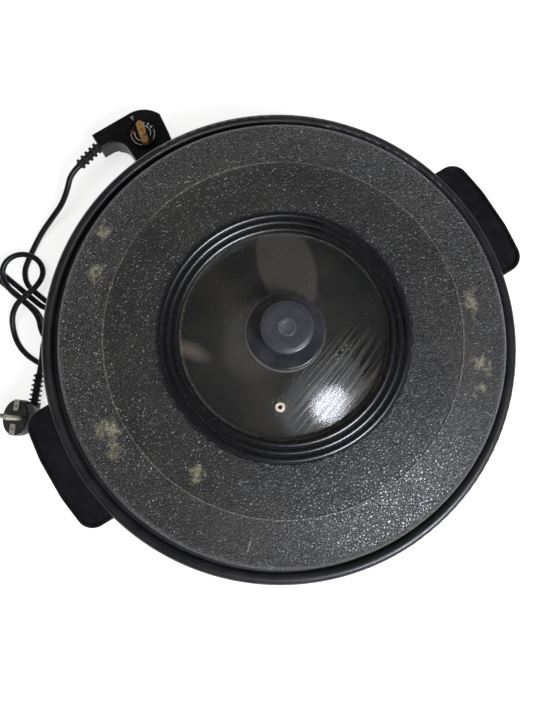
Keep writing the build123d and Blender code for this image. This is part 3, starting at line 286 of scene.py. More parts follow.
def polished_ring():
    """Polished moulded ABS: glossy blue-black with grime in its valleys and faint rub marks."""
    material, tree = blank("polished moulded ABS")
    place = add(tree, PLACE, output="Object")
    axis = from_axis(tree, place, LID_CENTRE)
    offset = add(tree, MATH, {0: axis, 1: RIDGE_INNER}, operation="SUBTRACT")
    turn = add(tree, MATH, {0: offset, 1: RIDGE_PITCH}, operation="DIVIDE")
    phase = add(tree, MATH, {0: turn}, operation="FRACT")
    middle = add(tree, MATH, {0: phase, 1: 0.5}, operation="SUBTRACT")
    away = add(tree, MATH, {0: middle}, operation="ABSOLUTE")
    valley = add(tree, RANGE, {"Value": away, "From Min": 0.38, "From Max": 0.5, "To Max": 0.5})
    grime = add(tree, NOISE, {"Vector": place, "Scale": per_metre(45.0), "Detail": 3.0, "Roughness": 0.6})
    grime = add(tree, RANGE, {"Value": grime, "From Min": 0.35, "From Max": 0.7})
    grime = add(tree, MATH, {0: grime, 1: valley}, operation="MULTIPLY")
    dust = add(tree, NOISE, {"Vector": place, "Scale": per_metre(2.4), "Detail": 4.0, "Roughness": 0.7})
    dust = add(tree, RANGE, {"Value": dust, "From Min": 0.56, "From Max": 0.74, "To Max": 0.3})
    film = add(tree, MATH, {0: grime, 1: dust}, operation="ADD")
    colour = add(tree, BLEND, {0: film, FROM: linear("#0a0b10"), TO: linear("#55524b")},
                 BLENDED, data_type="RGBA")
    rough = add(tree, RANGE, {"Value": film, "From Max": 1.2, "To Min": 0.27, "To Max": 0.5})
    rub = add(tree, NOISE, {"Vector": place, "Scale": per_metre(4.0), "Detail": 2.0})
    rub = add(tree, BUMP, {"Height": rub, "Distance": 0.03 * MM, "Strength": 0.4})
    shader = add(tree, SURFACE, {"Base Color": colour, "Roughness": rough, "Normal": rub,
                                 "IOR": RING_INDEX})
    add(tree, OUTPUT, {"Surface": shader})
    return material


# Marks on the glass and one painted reflection, in millimetres from the lid's axis
WIPE_MIDDLE = Vector((14.0, -60.0, 0.0)) * MM
WIPE_ANGLE = math.radians(18.6)
BLUSH_MIDDLE = Vector((-76.0, 32.0, 0.0)) * MM
BLUSH_ANGLE = math.radians(-57.0)
PAINTED_REFLECTION_MIDDLE = Vector((34.0, 50.0, 0.0)) * MM
PAINTED_REFLECTION_ANGLE = math.radians(72.0)
SPLASH_MIDDLE = Vector((33.0, -39.0, 0.0)) * MM
# Length, width and height of the cloth's streaks
STREAK = (60.0 * MM, 1.6 * MM, 20.0 * MM)


def wiped_glass():
    """Tempered clear glass with a dried film and a painted reflection, wiped on one side in streaks partly
    painted as glints, limescale at vent and knob.
    """
    material, tree = blank("tempered glass with dried film")
    place = add(tree, PLACE, output="Object")
    fog = add(tree, NOISE, {"Vector": place, "Scale": per_metre(60.0), "Detail": 4.0, "Roughness": 0.55})
    fog = add(tree, RANGE, {"Value": fog, "From Min": 0.38, "From Max": 0.64, "To Min": 0.04,
                            "To Max": 0.11})
    # A wedge of thicker film above the knob: a painted reflection of the room's light in the glass
    painted_reflection = patch(tree, place, LID_CENTRE + PAINTED_REFLECTION_MIDDLE, 48.0, 26.0, PAINTED_REFLECTION_ANGLE, 0.88)
    fog = add(tree, MATH, {0: painted_reflection, 1: 0.12, 2: fog}, operation="MULTIPLY_ADD")
    # Streaks about a millimetre wide along the way of the cloth; drawn light, they are partly painted
    # glints of the window's highlight
    along = add(tree, MAPPING, {"Vector": place, "Rotation": (0.0, 0.0, WIPE_ANGLE), "Scale": STREAK},
                vector_type="TEXTURE")
    streak = add(tree, NOISE, {"Vector": along, "Scale": 1.0, "Detail": 4.0, "Roughness": 0.6})
    wiped = patch(tree, place, LID_CENTRE + WIPE_MIDDLE, 62.0, 40.0, WIPE_ANGLE)
    cleared = add(tree, MATH, {0: wiped, 1: -0.9, 2: 1.0}, operation="MULTIPLY_ADD")
    fog = add(tree, MATH, {0: fog, 1: cleared}, operation="MULTIPLY")
    # smear: cloth smears, and the painted glow of the window's highlight in streaks round it
    smear_and_glint = add(tree, RANGE, {"Value": streak, "From Min": 0.46, "From Max": 0.72, "To Max": 0.4})
    smear_and_glint = add(tree, MATH, {0: smear_and_glint, 1: wiped}, operation="MULTIPLY")
    film = add(tree, MATH, {0: fog, 1: smear_and_glint}, operation="ADD")
    blush = patch(tree, place, LID_CENTRE + BLUSH_MIDDLE, 24.0, 9.0, BLUSH_ANGLE, 0.2)
    blush = add(tree, MATH, {0: blush, 1: 0.35}, operation="MULTIPLY")
    film = add(tree, MATH, {0: film, 1: blush}, operation="ADD")
    # White flecks: everywhere a few, many round the vent and in one splash, and a ring at the knob's foot
    specks = add(tree, NOISE, {"Vector": place, "Scale": per_metre(2.2), "Detail": 3.0, "Roughness": 0.65})
    few = add(tree, RANGE, {"Value": specks, "From Min": 0.69, "From Max": 0.74, "To Max": 0.6})
    many = add(tree, RANGE, {"Value": specks, "From Min": 0.55, "From Max": 0.66, "To Max": 0.6})
    dirty = patch(tree, place, VENT_CENTRE, 13.0, edge=0.4)
    splash = patch(tree, place, LID_CENTRE + SPLASH_MIDDLE, 20.0, 9.0, WIPE_ANGLE, 0.3)
    dirty = add(tree, MATH, {0: dirty, 1: splash}, operation="MAXIMUM")
    axis = from_axis(tree, place, LID_CENTRE)
    foot = add(tree, RANGE, {"Value": axis, "From Min": KNOB_RADIUS + 3.5 * MM, "From Max": KNOB_RADIUS})
    dirty = add(tree, MATH, {0: dirty, 1: foot}, operation="MAXIMUM")
    many = add(tree, MATH, {0: many, 1: dirty}, operation="MULTIPLY")
    specks = add(tree, MATH, {0: few, 1: many}, operation="MAXIMUM")
    # A thin dusty line where the knob's foot meets the glass
    line = add(tree, RANGE, {"Value": axis, "From Min": KNOB_RADIUS + 1.7 * MM,
                             "From Max": KNOB_RADIUS + 0.7 * MM, "To Max": 0.45})
    specks = add(tree, MATH, {0: specks, 1: line}, operation="MAXIMUM")
    film = add(tree, MATH, {0: film, 1: specks}, operation="MAXIMUM")
    # The film hides the glass and takes its colour; where it is wiped off, the glass is clear
    shade = add(tree, BLEND, {0: blush, FROM: linear("#918e86"), TO: linear("#9a7468")},
                BLENDED, data_type="RGBA")
    shade = add(tree, BLEND, {0: specks, FROM: shade, TO: linear("#a5a396")}, BLENDED, data_type="RGBA")
    covered = add(tree, RANGE, {"Value": film, "From Max": 0.1})
    colour = add(tree, BLEND, {0: covered, FROM: linear("#989ca3"), TO: shade}, BLENDED, data_type="RGBA")
    clear = add(tree, MATH, {0: 1.0, 1: film}, operation="SUBTRACT")
    rough = add(tree, RANGE, {"Value": film, "From Max": 0.4, "To Min": 0.09, "To Max": 0.3})
    ripple = add(tree, BUMP, {"Height": streak, "Distance": 0.05 * MM, "Strength": wiped})
    shader = add(tree, SURFACE, {"Base Color": colour, "Roughness": rough, "Normal": ripple,
                                 "IOR": GLASS_INDEX, "Transmission Weight": clear})
    add(tree, OUTPUT, {"Surface": shader})
    return material


def moulded_rubber(name, deep, worn, smooth, grime_mm=6.0):
    """Moulded rubber or soft vinyl: dull, dusty, with a fine pull texture."""
    material, tree = blank(name)
    place = add(tree, PLACE, output="Object")
    dust = add(tree, NOISE, {"Vector": place, "Scale": per_metre(grime_mm), "Detail": 5.0,
                             "Roughness": 0.65})
    dust = add(tree, RANGE, {"Value": dust, "From Min": 0.42, "From Max": 0.72, "To Max": 0.75})
    colour = add(tree, BLEND, {0: dust, FROM: linear(deep), TO: linear(worn)}, BLENDED, data_type="RGBA")
    skin = add(tree, NOISE, {"Vector": place, "Scale": per_metre(0.8), "Detail": 3.0})
    skin = add(tree, BUMP, {"Height": skin, "Distance": 0.04 * MM, "Strength": 0.6})
    shader = add(tree, SURFACE, {"Base Color": colour, "Roughness": smooth, "Normal": skin})
    add(tree, OUTPUT, {"Surface": shader})
    return material


def tarnished_metal(name, colour, dull, smooth, aged=0.35):
    """Bare or plated metal with blotches of tarnish and fine draw lines."""
    material, tree = blank(name)
    place = add(tree, PLACE, output="Object")
    tarnish = add(tree, NOISE, {"Vector": place, "Scale": per_metre(4.0), "Detail": 6.0, "Roughness": 0.68})
    aging = add(tree, RANGE, {"Value": tarnish, "From Min": 0.42, "From Max": 0.66, "To Max": aged})
    shade = add(tree, BLEND, {0: aging, FROM: linear(colour), TO: linear(dull)}, BLENDED, data_type="RGBA")
    rough = add(tree, RANGE, {"Value": tarnish, "From Min": 0.42, "From Max": 0.66, "To Min": smooth,
                              "To Max": smooth + 0.22})
    skin = add(tree, NOISE, {"Vector": place, "Scale": per_metre(0.5), "Detail": 2.0})
    skin = add(tree, BUMP, {"Height": skin, "Distance": 0.01 * MM, "Strength": 0.6})
    shader = add(tree, SURFACE, {"Base Color": shade, "Metallic": 1.0, "Roughness": rough, "Normal": skin})
    add(tree, OUTPUT, {"Surface": shader})
    return material


def rubbed_foil():
    """Gold hot-stamped foil on a dark grip: rubbed through to the moulding in ragged patches."""
    material, tree = blank("rubbed foil on moulded grip")
    place = add(tree, PLACE, output="Object")
    rag = add(tree, NOISE, {"Vector": place, "Scale": per_metre(5.0), "Detail": 6.0, "Roughness": 0.72})
    bare = add(tree, RANGE, {"Value": rag, "From Min": 0.56, "From Max": 0.62})
    stain = add(tree, NOISE, {"Vector": place, "Scale": per_metre(2.2), "Detail": 4.0, "Roughness": 0.6})
    stain = add(tree, RANGE, {"Value": stain, "From Min": 0.4, "From Max": 0.65})
    foil = add(tree, BLEND, {0: stain, FROM: linear("#a8834a"), TO: linear("#7a5a30")},
               BLENDED, data_type="RGBA")
    colour = add(tree, BLEND, {0: bare, FROM: foil, TO: linear("#33271a")}, BLENDED, data_type="RGBA")
    skin = add(tree, BUMP, {"Height": rag, "Distance": 0.08 * MM, "Strength": 0.6})
    shader = add(tree, SURFACE, {"Base Color": colour, "Roughness": 0.55, "Normal": skin})
    add(tree, OUTPUT, {"Surface": shader})
    return material


def pad_print(name, colour):
    """Pad-printed ink: flat and slightly chalky, worn thin in spots."""
    material, tree = blank(name)
    place = add(tree, PLACE, output="Object")
    thin = add(tree, NOISE, {"Vector": place, "Scale": per_metre(1.2), "Detail": 4.0, "Roughness": 0.65})
    thin = add(tree, RANGE, {"Value": thin, "From Min": 0.5, "From Max": 0.7, "To Max": 0.6})
    shade = add(tree, BLEND, {0: thin, FROM: linear(colour), TO: linear("#3d3b37")},
                BLENDED, data_type="RGBA")
    shader = add(tree, SURFACE, {"Base Color": shade, "Roughness": 0.55})
    add(tree, OUTPUT, {"Surface": shader})
    return material


def glazed_steatite():
    """Glazed steatite: warm white, glossy, with soot near the hot end."""
    material, tree = blank("glazed steatite")
    place = add(tree, PLACE, output="Object")
    soot = add(tree, NOISE, {"Vector": place, "Scale": per_metre(5.0), "Detail": 4.0, "Roughness": 0.6})
    soot = add(tree, RANGE, {"Value": soot, "From Min": 0.45, "From Max": 0.75, "To Max": 0.4})
    colour = add(tree, BLEND, {0: soot, FROM: linear("#e4dfd3"), TO: linear("#8d8372")},
                 BLENDED, data_type="RGBA")
    shader = add(tree, SURFACE, {"Base Color": colour, "Roughness": 0.28})
    add(tree, OUTPUT, {"Surface": shader})
    return material


MAKERS = {
    "casting": coated_casting,
    "enamel": grained_enamel,
    "phenolic": lambda: moulded_phenolic("pressed phenolic", "#0f0f13", "#26262a", 0.34),
    # The knob's finishes grow lighter upwards: dusty bloom and painted sheen on the knob, more painted
    # sheen on its top, a painted highlight on its cap
    "knob": lambda: moulded_phenolic("dusty phenolic with painted sheen", "#25252b", "#45454b", 0.27, KNOB_INDEX),
    "knob top": lambda: moulded_phenolic("phenolic with stronger painted sheen", "#3a3a40", "#55555a", 0.27, KNOB_INDEX),
    "knob cap": lambda: moulded_phenolic("phenolic with painted highlight", "#4e4e52", "#8a8781", 0.22, KNOB_INDEX),
    "housing": lambda: moulded_phenolic("moulded thermostat housing", "#0c0c0e", "#242424", 0.38,
                                        HOUSING_INDEX),
    "brown phenolic": lambda: moulded_phenolic("brown pressed phenolic", "#2b1d15", "#4b3a2e", 0.45),
    "ring": polished_ring,
    "glass": wiped_glass,
    "seal": lambda: moulded_rubber("aged silicone seal", "#2c2a22", "#97906f", 0.55, 2.2),
    "rubber": lambda: moulded_rubber("black moulded rubber", "#101011", "#343433", 0.7),
    "sheath": lambda: moulded_rubber("extruded vinyl sheath", "#0f0f12", "#2b2b2f", 0.38),
    "plug": lambda: moulded_rubber("moulded vinyl plug", "#0f0f10", "#2b2b2a", 0.38),
    "steel": lambda: tarnished_metal("zinc-plated steel", "#b9b8b3", "#6f6a60", 0.3),
    "element": lambda: tarnished_metal("heat-tinted stainless tube", "#6d655d", "#3b3531", 0.42, 0.7),
    "nickel": lambda: tarnished_metal("nickel-plated brass", "#dcd8cd", "#a19a88", 0.42),
    "eyelet": lambda: tarnished_metal("tinned eyelet", "#d8d0bb", "#9b9078", 0.45, 0.4),
    "brass": lambda: tarnished_metal("spring brass", "#b99a56", "#6b5629", 0.3),
    "steatite": glazed_steatite,
    "foil": rubbed_foil,
    "white print": lambda: pad_print("white pad print", "#d6d4cc"),
    "grey print": lambda: pad_print("dulled pad print", "#85837c"),
    "red print": lambda: pad_print("red pad print", "#8c3527"),
}
FINISHES = {}


def finish(name):
    """Each finish is made once, when it is first asked for."""
    if name not in FINISHES:
        FINISHES[name] = MAKERS[name]()
    return FINISHES[name]


# The solids that keep their own shape, by finish
CAD_FINISHES = {
    "casting": ["pan_shell"],
    "enamel": ["lid_shell"],
    "phenolic": ["handle_left", "handle_right", "foot_1", "foot_2", "foot_3", "foot_4"],
    "knob": ["knob_base"],
    "knob top": ["knob_top"],
    "knob cap": ["knob_cap"],
    "housing": ["thermostat_cover", "thermostat_base", "dial"],
    "brown phenolic": ["terminal_block"],
    "glass": ["lid_glass"],
    "seal": ["glass_gasket", "knob_seal"],
    "rubber": ["foot_pad_1", "foot_pad_2", "foot_pad_3", "foot_pad_4", "cord_relief"],
    "plug": ["plug_body", "plug_relief"],
    "steel": ["shroud_screws", "handle_screws", "foot_screws", "bezel_screws", "knob_screw", "knob_washer",
              "housing_screws", "dial_shaft", "terminal_shroud"],
    "element": ["heating_element"],
    "nickel": ["terminal_pin_left", "terminal_pin_right", "probe_rod", "plug_pins", "earth_clips"],
    "eyelet": ["vent_eyelet"],
    "brass": ["contact_sleeve_left", "contact_sleeve_right", "switch_blade"],
    "steatite": ["insulator_left", "insulator_right", "switch_stack"],
    "foil": ["dial_grip"],
}


def settle(item, material, body):
    """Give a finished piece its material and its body."""
    item.data.materials.clear()
    item.data.materials.append(finish(material))
    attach(item, body)
    return item


def mesh_piece(name, shape, smooth_angle=40.0):
    """Turn a bmesh into an object at the origin, smooth except at real edges."""
    mesh = bpy.data.meshes.new(name)
    shape.to_mesh(mesh)
    shape.free()
    mesh.shade_smooth()
    mesh.set_sharp_from_angle(angle=math.radians(smooth_angle))
    item = bpy.data.objects.new(name, mesh)
    bpy.context.scene.collection.objects.link(item)
    return item


# The cord's route in millimetres, through the same points as the model's. The hank has a frame of its own,
# with its origin between its two bends and its first axis along its strands

HANK_ORIGIN = Vector((-196.5, 196.5, 0.0))
HANK_ANGLE = math.radians(-72.0)
HANK_AXIS = -1.1
HANK_NEAR = 60.0
HANK_FAR = -78.0
HANK_FOLD = 18.0
# From strand to strand, and from the layer on the table to the one above it
STRAND_PITCH = 7.2
LAYER_PITCH = 6.4
# The waist, where the strands are drawn together
WAIST_NEAR = 20.0
WAIST_FAR = -42.0
WAIST_DRAW = 14.4
WAIST_LEAD = 22.0
CORD_RADIUS = 2.9
CORD_START = Vector((-44.8, 277.5, 31.0))
CORD_DROOP = math.radians(15.0)
RELIEF_LENGTH = 29.0
# The plug's relief ends here, level with its axis, and points this way
PLUG_END = Vector((-221.48, 109.70, 10.62))
PLUG_HEADING = math.radians(50.0)


def on_hank(along, across, height):
    """A point along and across the hank, as a point of the frame."""
    turn = Matrix.Rotation(HANK_ANGLE, 3, "Z")
    return HANK_ORIGIN + turn @ Vector((along, across, 0.0)) + Vector((0.0, 0.0, height))


def bend_reach(end, waist):
    """How far from each end of a drawn-in bend its corner lies."""
    half = Vector((abs(waist - end), WAIST_DRAW)) / 2
    return half.length / 2 / math.cos(math.atan2(half.y, half.x))


def hank_route():
    """Corner points of the hank's folds and drawn-in runs, in order along the cord."""
    low = CORD_RADIUS
    high = low + LAYER_PITCH
    inner = HANK_AXIS + HANK_FOLD
    outer = inner + STRAND_PITCH
    far_side = HANK_AXIS - HANK_FOLD
    folds = [
        (HANK_NEAR, outer, far_side, low, low),
        (HANK_FAR, far_side, inner, low, high),
        (HANK_NEAR, inner, far_side, high, high),
    ]
    reach = bend_reach(HANK_NEAR, WAIST_NEAR)
    points = [
        on_hank(WAIST_NEAR - 2 * CORD_RADIUS, outer - WAIST_DRAW, low),
        on_hank(WAIST_NEAR + reach, outer - WAIST_DRAW, low),
        on_hank(HANK_NEAR - reach, outer, low),
    ]
    for end, first, second, level, goal in folds:
        way = 1 if end == HANK_NEAR else -1
        radius = abs(second - first) / 2
        side = math.copysign(1.0, first - second)
        middle = (first + second) / 2
        wide = radius / math.cos(math.pi / 8)
        for eighth in (3, 1, -1, -3):
            turn = eighth * math.pi / 8
            points.append(on_hank(end + way * wide * math.cos(turn), middle + side * wide * math.sin(turn),
                                  level))
        entering, leaving = (WAIST_NEAR, WAIST_FAR) if way > 0 else (WAIST_FAR, WAIST_NEAR)
        drawn = second + (WAIST_DRAW if second < HANK_AXIS else -WAIST_DRAW)
        reach = bend_reach(end, entering)
        points.append(on_hank(end - way * reach, second, level))
        points.append(on_hank(entering + way * reach, drawn, level))
        if first == inner:
            points.append(on_hank(0.0, drawn, level))
        else:
            next_end = HANK_FAR if way > 0 else HANK_NEAR
            leap = bend_reach(next_end, leaving)
            points.append(on_hank(entering + way * (reach - WAIST_LEAD), drawn, level))
            points.append(on_hank(leaving - way * (leap - WAIST_LEAD), drawn, level))
            points.append(on_hank(leaving - way * leap, drawn, level))
            points.append(on_hank(next_end + way * leap, second, goal))
    return points


def cord_route():
    """The whole cord's control points in millimetres, from the thermostat's relief to the plug's."""
    leaving = Vector((-math.cos(CORD_DROOP), -math.sin(CORD_DROOP), 0.0))
    start = CORD_START + leaving * RELIEF_LENGTH
    towards = Vector((math.cos(PLUG_HEADING), math.sin(PLUG_HEADING), 0.0))
    upper = [
        start,
        start + leaving * 12.6,
        on_hank(-27.2, 114.4, 25.2),
        on_hank(-24.8, 98.8, 17.5),
        on_hank(-26.3, 81.7, 11.0),
        on_hank(-26.8, 63.7, 5.8),
        on_hank(-24.0, 47.4, CORD_RADIUS),
        on_hank(-19.4, 33.0, CORD_RADIUS),
        on_hank(-14.0, 19.2, CORD_RADIUS),
        on_hank(-1.4, 9.7, CORD_RADIUS),
    ]
    lower = [
        on_hank(-8.0, -4.7, CORD_RADIUS + LAYER_PITCH),
        on_hank(-22.2, -0.4, 11.6),
        on_hank(-29.6, 11.6, 14.6),
        on_hank(-28.0, 25.6, 15.0),
        on_hank(-18.4, 36.0, 13.6),
        on_hank(-4.2, 38.5, 11.8),
        on_hank(8.2, 31.6, 12.6),
        on_hank(13.4, 18.6, 15.6),
        on_hank(12.2, 4.2, 16.9),
        on_hank(9.6, -10.4, 15.8),
        on_hank(12.6, -24.9, 9.8),
        on_hank(22.6, -36.4, 4.4),
        on_hank(35.6, -43.8, CORD_RADIUS),
        on_hank(50.6, -45.8, CORD_RADIUS),
        on_hank(66.5, -43.6, CORD_RADIUS),
        on_hank(82.4, -39.6, CORD_RADIUS),
        on_hank(94.9, -31.6, 3.8),
        on_hank(99.9, -18.0, 6.6),
        on_hank(95.4, -4.4, 11.0),
        on_hank(83.6, 3.4, 15.2),
        on_hank(69.4, 2.4, 16.6),
        on_hank(58.8, -7.2, 16.6),
        on_hank(56.9, -21.6, 15.8),
        PLUG_END + towards * 16.0,
        PLUG_END,
    ]
    return upper + hank_route() + lower


class CookerSizes(bpy.types.PropertyGroup):
    """Sizes, levels and colours of the dressed cooker that a user may change."""

    cord_length: FloatProperty(name="Cord length", description="Real length of the free cord",
                               default=1.106, unit="LENGTH")
    cord_diameter: FloatProperty(name="Cord diameter", description="Outer diameter of the sheath",
                                 default=0.0058, unit="LENGTH")
    print_height: FloatProperty(name="Print height", description="How far the dial's print stands proud",
                                default=0.00012, unit="LENGTH")
    digit_height: FloatProperty(name="Digit height", description="Height of the dial's figures",
                                default=0.0036, unit="LENGTH")
    arc_steps: IntProperty(name="Arc steps", description="Steps in each printed arc", default=32)
    ring_steps: IntProperty(name="Ring steps", description="Steps round the clamping ring", default=192)
    window_power: FloatProperty(name="Window power", description="Power of the window light",
                                default=14.0, unit="POWER")
    sky_power: FloatProperty(name="Sky power", description="Power of the pale sky round the window",
                             default=4.5, unit="POWER")
    fill_power: FloatProperty(name="Fill power", description="Power of the soft overhead light",
                              default=6.5, unit="POWER")
    window_colour: FloatVectorProperty(name="Window colour", description="Colour of the window light",
                                       subtype="COLOR", size=3, default=(0.86, 0.9, 1.0))
    room_colour: FloatVectorProperty(name="Room colour", description="Colour of the room's own light",
                                     subtype="COLOR", size=3, default=(1.0, 0.97, 0.88))


# The stage, in metres. The table lies just under the soles of the feet
FLOOR_HALF = 4.0
FLOOR_DROP = 0.2 * MM
FLOOR_GREY = (0.62, 0.62, 0.62, 1.0)
FLOOR_GLOW = 0.72
WHITE = (1.0, 1.0, 1.0, 1.0)
ROOM_STRENGTH = 0.09
# Mirrored rays meet walls that are white up to the first of these and gone at the second: sines of the
# angle at which a ray rises
WALL_FULL = 0.02
WALL_TOP = 0.16
# Each lamp's place, width and height: the window, the pale sky round it and the ceiling
WINDOW = ((0.17, -0.94, 1.16), 0.5, 0.42)
SKY = ((0.15, -0.85, 1.3), 1.4, 0.9)
OVERHEAD = ((-0.2, 0.3, 1.6), 1.2, 1.0)
OVERHEAD_COLOUR = (1.0, 0.99, 0.97)
LAMP_AIM = Vector((0.0, 0.0, 0.08))
# The camera, fitted to the photograph: place, turn in degrees, lens and sensor in millimetres, and shift
CAMERA_PLACE = (-0.05842, -0.04814, 0.56408)
CAMERA_TURN = (6.6, -1.3, -32.7)
CAMERA_LENS = 27.04
CAMERA_SENSOR = 36.0
CAMERA_SHIFT = (-0.0017, 0.0004)


class COOKER_OT_stage(bpy.types.Operator):
    """Set the floor, the lights, the world and the camera"""

    bl_idname = "cooker.stage"
    bl_label = "Stage"

    def execute(self, context):
        scene = context.scene
        sizes = scene.cooker_sizes
        scene.view_settings.view_transform = "Standard"
        shape = bmesh.new()
        bmesh.ops.create_grid(shape, x_segments=1, y_segments=1, size=FLOOR_HALF)
        bmesh.ops.translate(shape, verts=shape.verts, vec=(0.0, 0.0, -FLOOR_DROP))
        floor = mesh_piece("floor", shape)
        floor.data.materials.append(pale_floor())
        scene.world = plain_room(sizes.room_colour)
        lamp("window", *WINDOW, sizes.window_power, sizes.window_colour)
        lamp("sky", *SKY, sizes.sky_power, sizes.window_colour)
        fill = lamp("overhead", *OVERHEAD, sizes.fill_power, OVERHEAD_COLOUR)
        fill.visible_glossy = False
        view = bpy.data.cameras.new("camera")
        view.lens = CAMERA_LENS
        view.sensor_width = CAMERA_SENSOR
        view.shift_x, view.shift_y = CAMERA_SHIFT
        holder = bpy.data.objects.new("camera", view)
        scene.collection.objects.link(holder)
        turn = Euler([math.radians(angle) for angle in CAMERA_TURN], "XYZ")
        holder.matrix_world = Matrix.Translation(CAMERA_PLACE) @ turn.to_matrix().to_4x4()
        scene.camera = holder
        return {"FINISHED"}


def plain_room(colour):
    """A dim warm room overhead and white walls low down, and plain white straight to the camera."""
    world = bpy.data.worlds.new("plain room")
    world.use_nodes = True
    tree = world.node_tree
    tree.nodes.clear()
    upward = add(tree, PLACE, output="Generated")
    height = add(tree, "ShaderNodeSeparateXYZ", {0: upward}, output="Z")
    low = add(tree, RANGE, {"Value": height, "From Min": WALL_TOP, "From Max": WALL_FULL})
    path = tree.nodes.new("ShaderNodeLightPath")
    mirrored = add(tree, MATH, {0: path.outputs["Is Glossy Ray"], 1: path.outputs["Is Transmission Ray"]},
                   operation="MAXIMUM")
    mirrored = add(tree, MATH, {0: mirrored, 1: low}, operation="MULTIPLY")
    seen = add(tree, MATH, {0: path.outputs["Is Camera Ray"], 1: mirrored}, operation="MAXIMUM")
    room = add(tree, BACKGROUND, {"Color": (*colour, 1.0), "Strength": ROOM_STRENGTH})
    white = add(tree, BACKGROUND, {"Color": WHITE, "Strength": 1.0})
    both = add(tree, "ShaderNodeMixShader", {0: seen, 1: room, 2: white})
    add(tree, "ShaderNodeOutputWorld", {"Surface": both})
    return world


def pale_floor():
    """A matt white table: white where it is lit, softly grey in the shadow.

    Its glow lifts only what the camera sees of it, straight, mirrored or through glass.
    """
    material, tree = blank("matt white table")
    path = tree.nodes.new("ShaderNodeLightPath")
    seen = path.outputs["Is Camera Ray"]
    for other in ("Is Glossy Ray", "Is Transmission Ray"):
        seen = add(tree, MATH, {0: seen, 1: path.outputs[other]}, operation="MAXIMUM")
    glow = add(tree, MATH, {0: seen, 1: FLOOR_GLOW}, operation="MULTIPLY")
    matt = add(tree, "ShaderNodeBsdfDiffuse", {"Color": FLOOR_GREY})
    glow = add(tree, "ShaderNodeEmission", {"Color": WHITE, "Strength": glow})
    both = add(tree, "ShaderNodeAddShader", {0: matt, 1: glow})
    add(tree, OUTPUT, {"Surface": both})
    return material


def lamp(name, place, width, height, power, colour):
    """A soft oval lamp that faces the cooker."""
    light = bpy.data.lights.new(name, "AREA")
    light.shape = "ELLIPSE"
    light.size = width
    light.size_y = height
    light.energy = power
    light.color = colour
    holder = bpy.data.objects.new(name, light)
    holder.location = place
    holder.rotation_euler = (LAMP_AIM - Vector(place)).to_track_quat("-Z", "Y").to_euler()
    bpy.context.scene.collection.objects.link(holder)
    return holder


# The dial's print, in millimetres from its axis: radius, width, first and last angle in degrees
DIAL_ARCS = (
    (11.9, 0.55, -62.0, -8.0),
    (11.9, 0.45, 150.0, 236.0),
    (8.1, 0.6, -48.0, 62.0),
    (8.1, 0.6, 142.0, 228.0),
)
# Figures 1 to 4 stand on the dial's outer band at these angles, this far from its axis
DIGIT_ANGLES = (78.0, 56.0, 34.0, 12.0)
DIGIT_BAND = 11.1 * MM
# Size of type over the height of its figures
TYPE_SIZE = 1.35
OFF_DOT_ANGLE = math.radians(140.0)
OFF_DOT_RADIUS = 1.9 * MM
OFF_DOT_BAND = 10.6 * MM
# The dial's face under its grip's top, and the raised hub on it
GRIP_RISE = 5.0 * MM
DIAL_FACE = GRIP_HIGH.z - GRIP_RISE
HUB_RADIUS = 8.6 * MM
HUB_RISE = 1.0 * MM
# The index on the housing: how far its tip and its base lie from the dial's axis, and its half width
INDEX_NEAR = 18.6 * MM
INDEX_FAR = 24.6 * MM
INDEX_HALF = 1.8 * MM
# Print is smooth up to this angle, in degrees
PRINT_SMOOTH = 30.0


def printed_arc(shape, radius, width, first, last, low, high, steps):
    """A thin raised band of print along part of a circle round the dial's axis."""
    start = Matrix.Rotation(math.radians(first), 4, "Z")
    corners = [(radius - width / 2, low), (radius + width / 2, low), (radius + width / 2, high),
               (radius - width / 2, high)]
    centre = Vector((DIAL_CENTRE.x, DIAL_CENTRE.y, 0.0))
    ring = [shape.verts.new(centre + start @ Vector((r, 0.0, z))) for r, z in corners]
    edges = [shape.edges.new((ring[place - 1], ring[place])) for place in range(4)]
    bmesh.ops.spin(shape, geom=ring + edges, cent=centre, axis=(0.0, 0.0, 1.0),
                   angle=math.radians(last - first), steps=steps, use_merge=False)
    open_ends = [edge for edge in shape.edges if edge.is_boundary]
    bmesh.ops.holes_fill(shape, edges=open_ends, sides=4)


def raised(shape, thickness):
    """Turn flat faces into a thin plate of print."""
    region = bmesh.ops.extrude_face_region(shape, geom=list(shape.faces))
    moved = [item for item in region["geom"] if isinstance(item, bmesh.types.BMVert)]
    bmesh.ops.translate(shape, verts=moved, vec=(0.0, 0.0, thickness))
    bmesh.ops.recalc_face_normals(shape, faces=shape.faces)


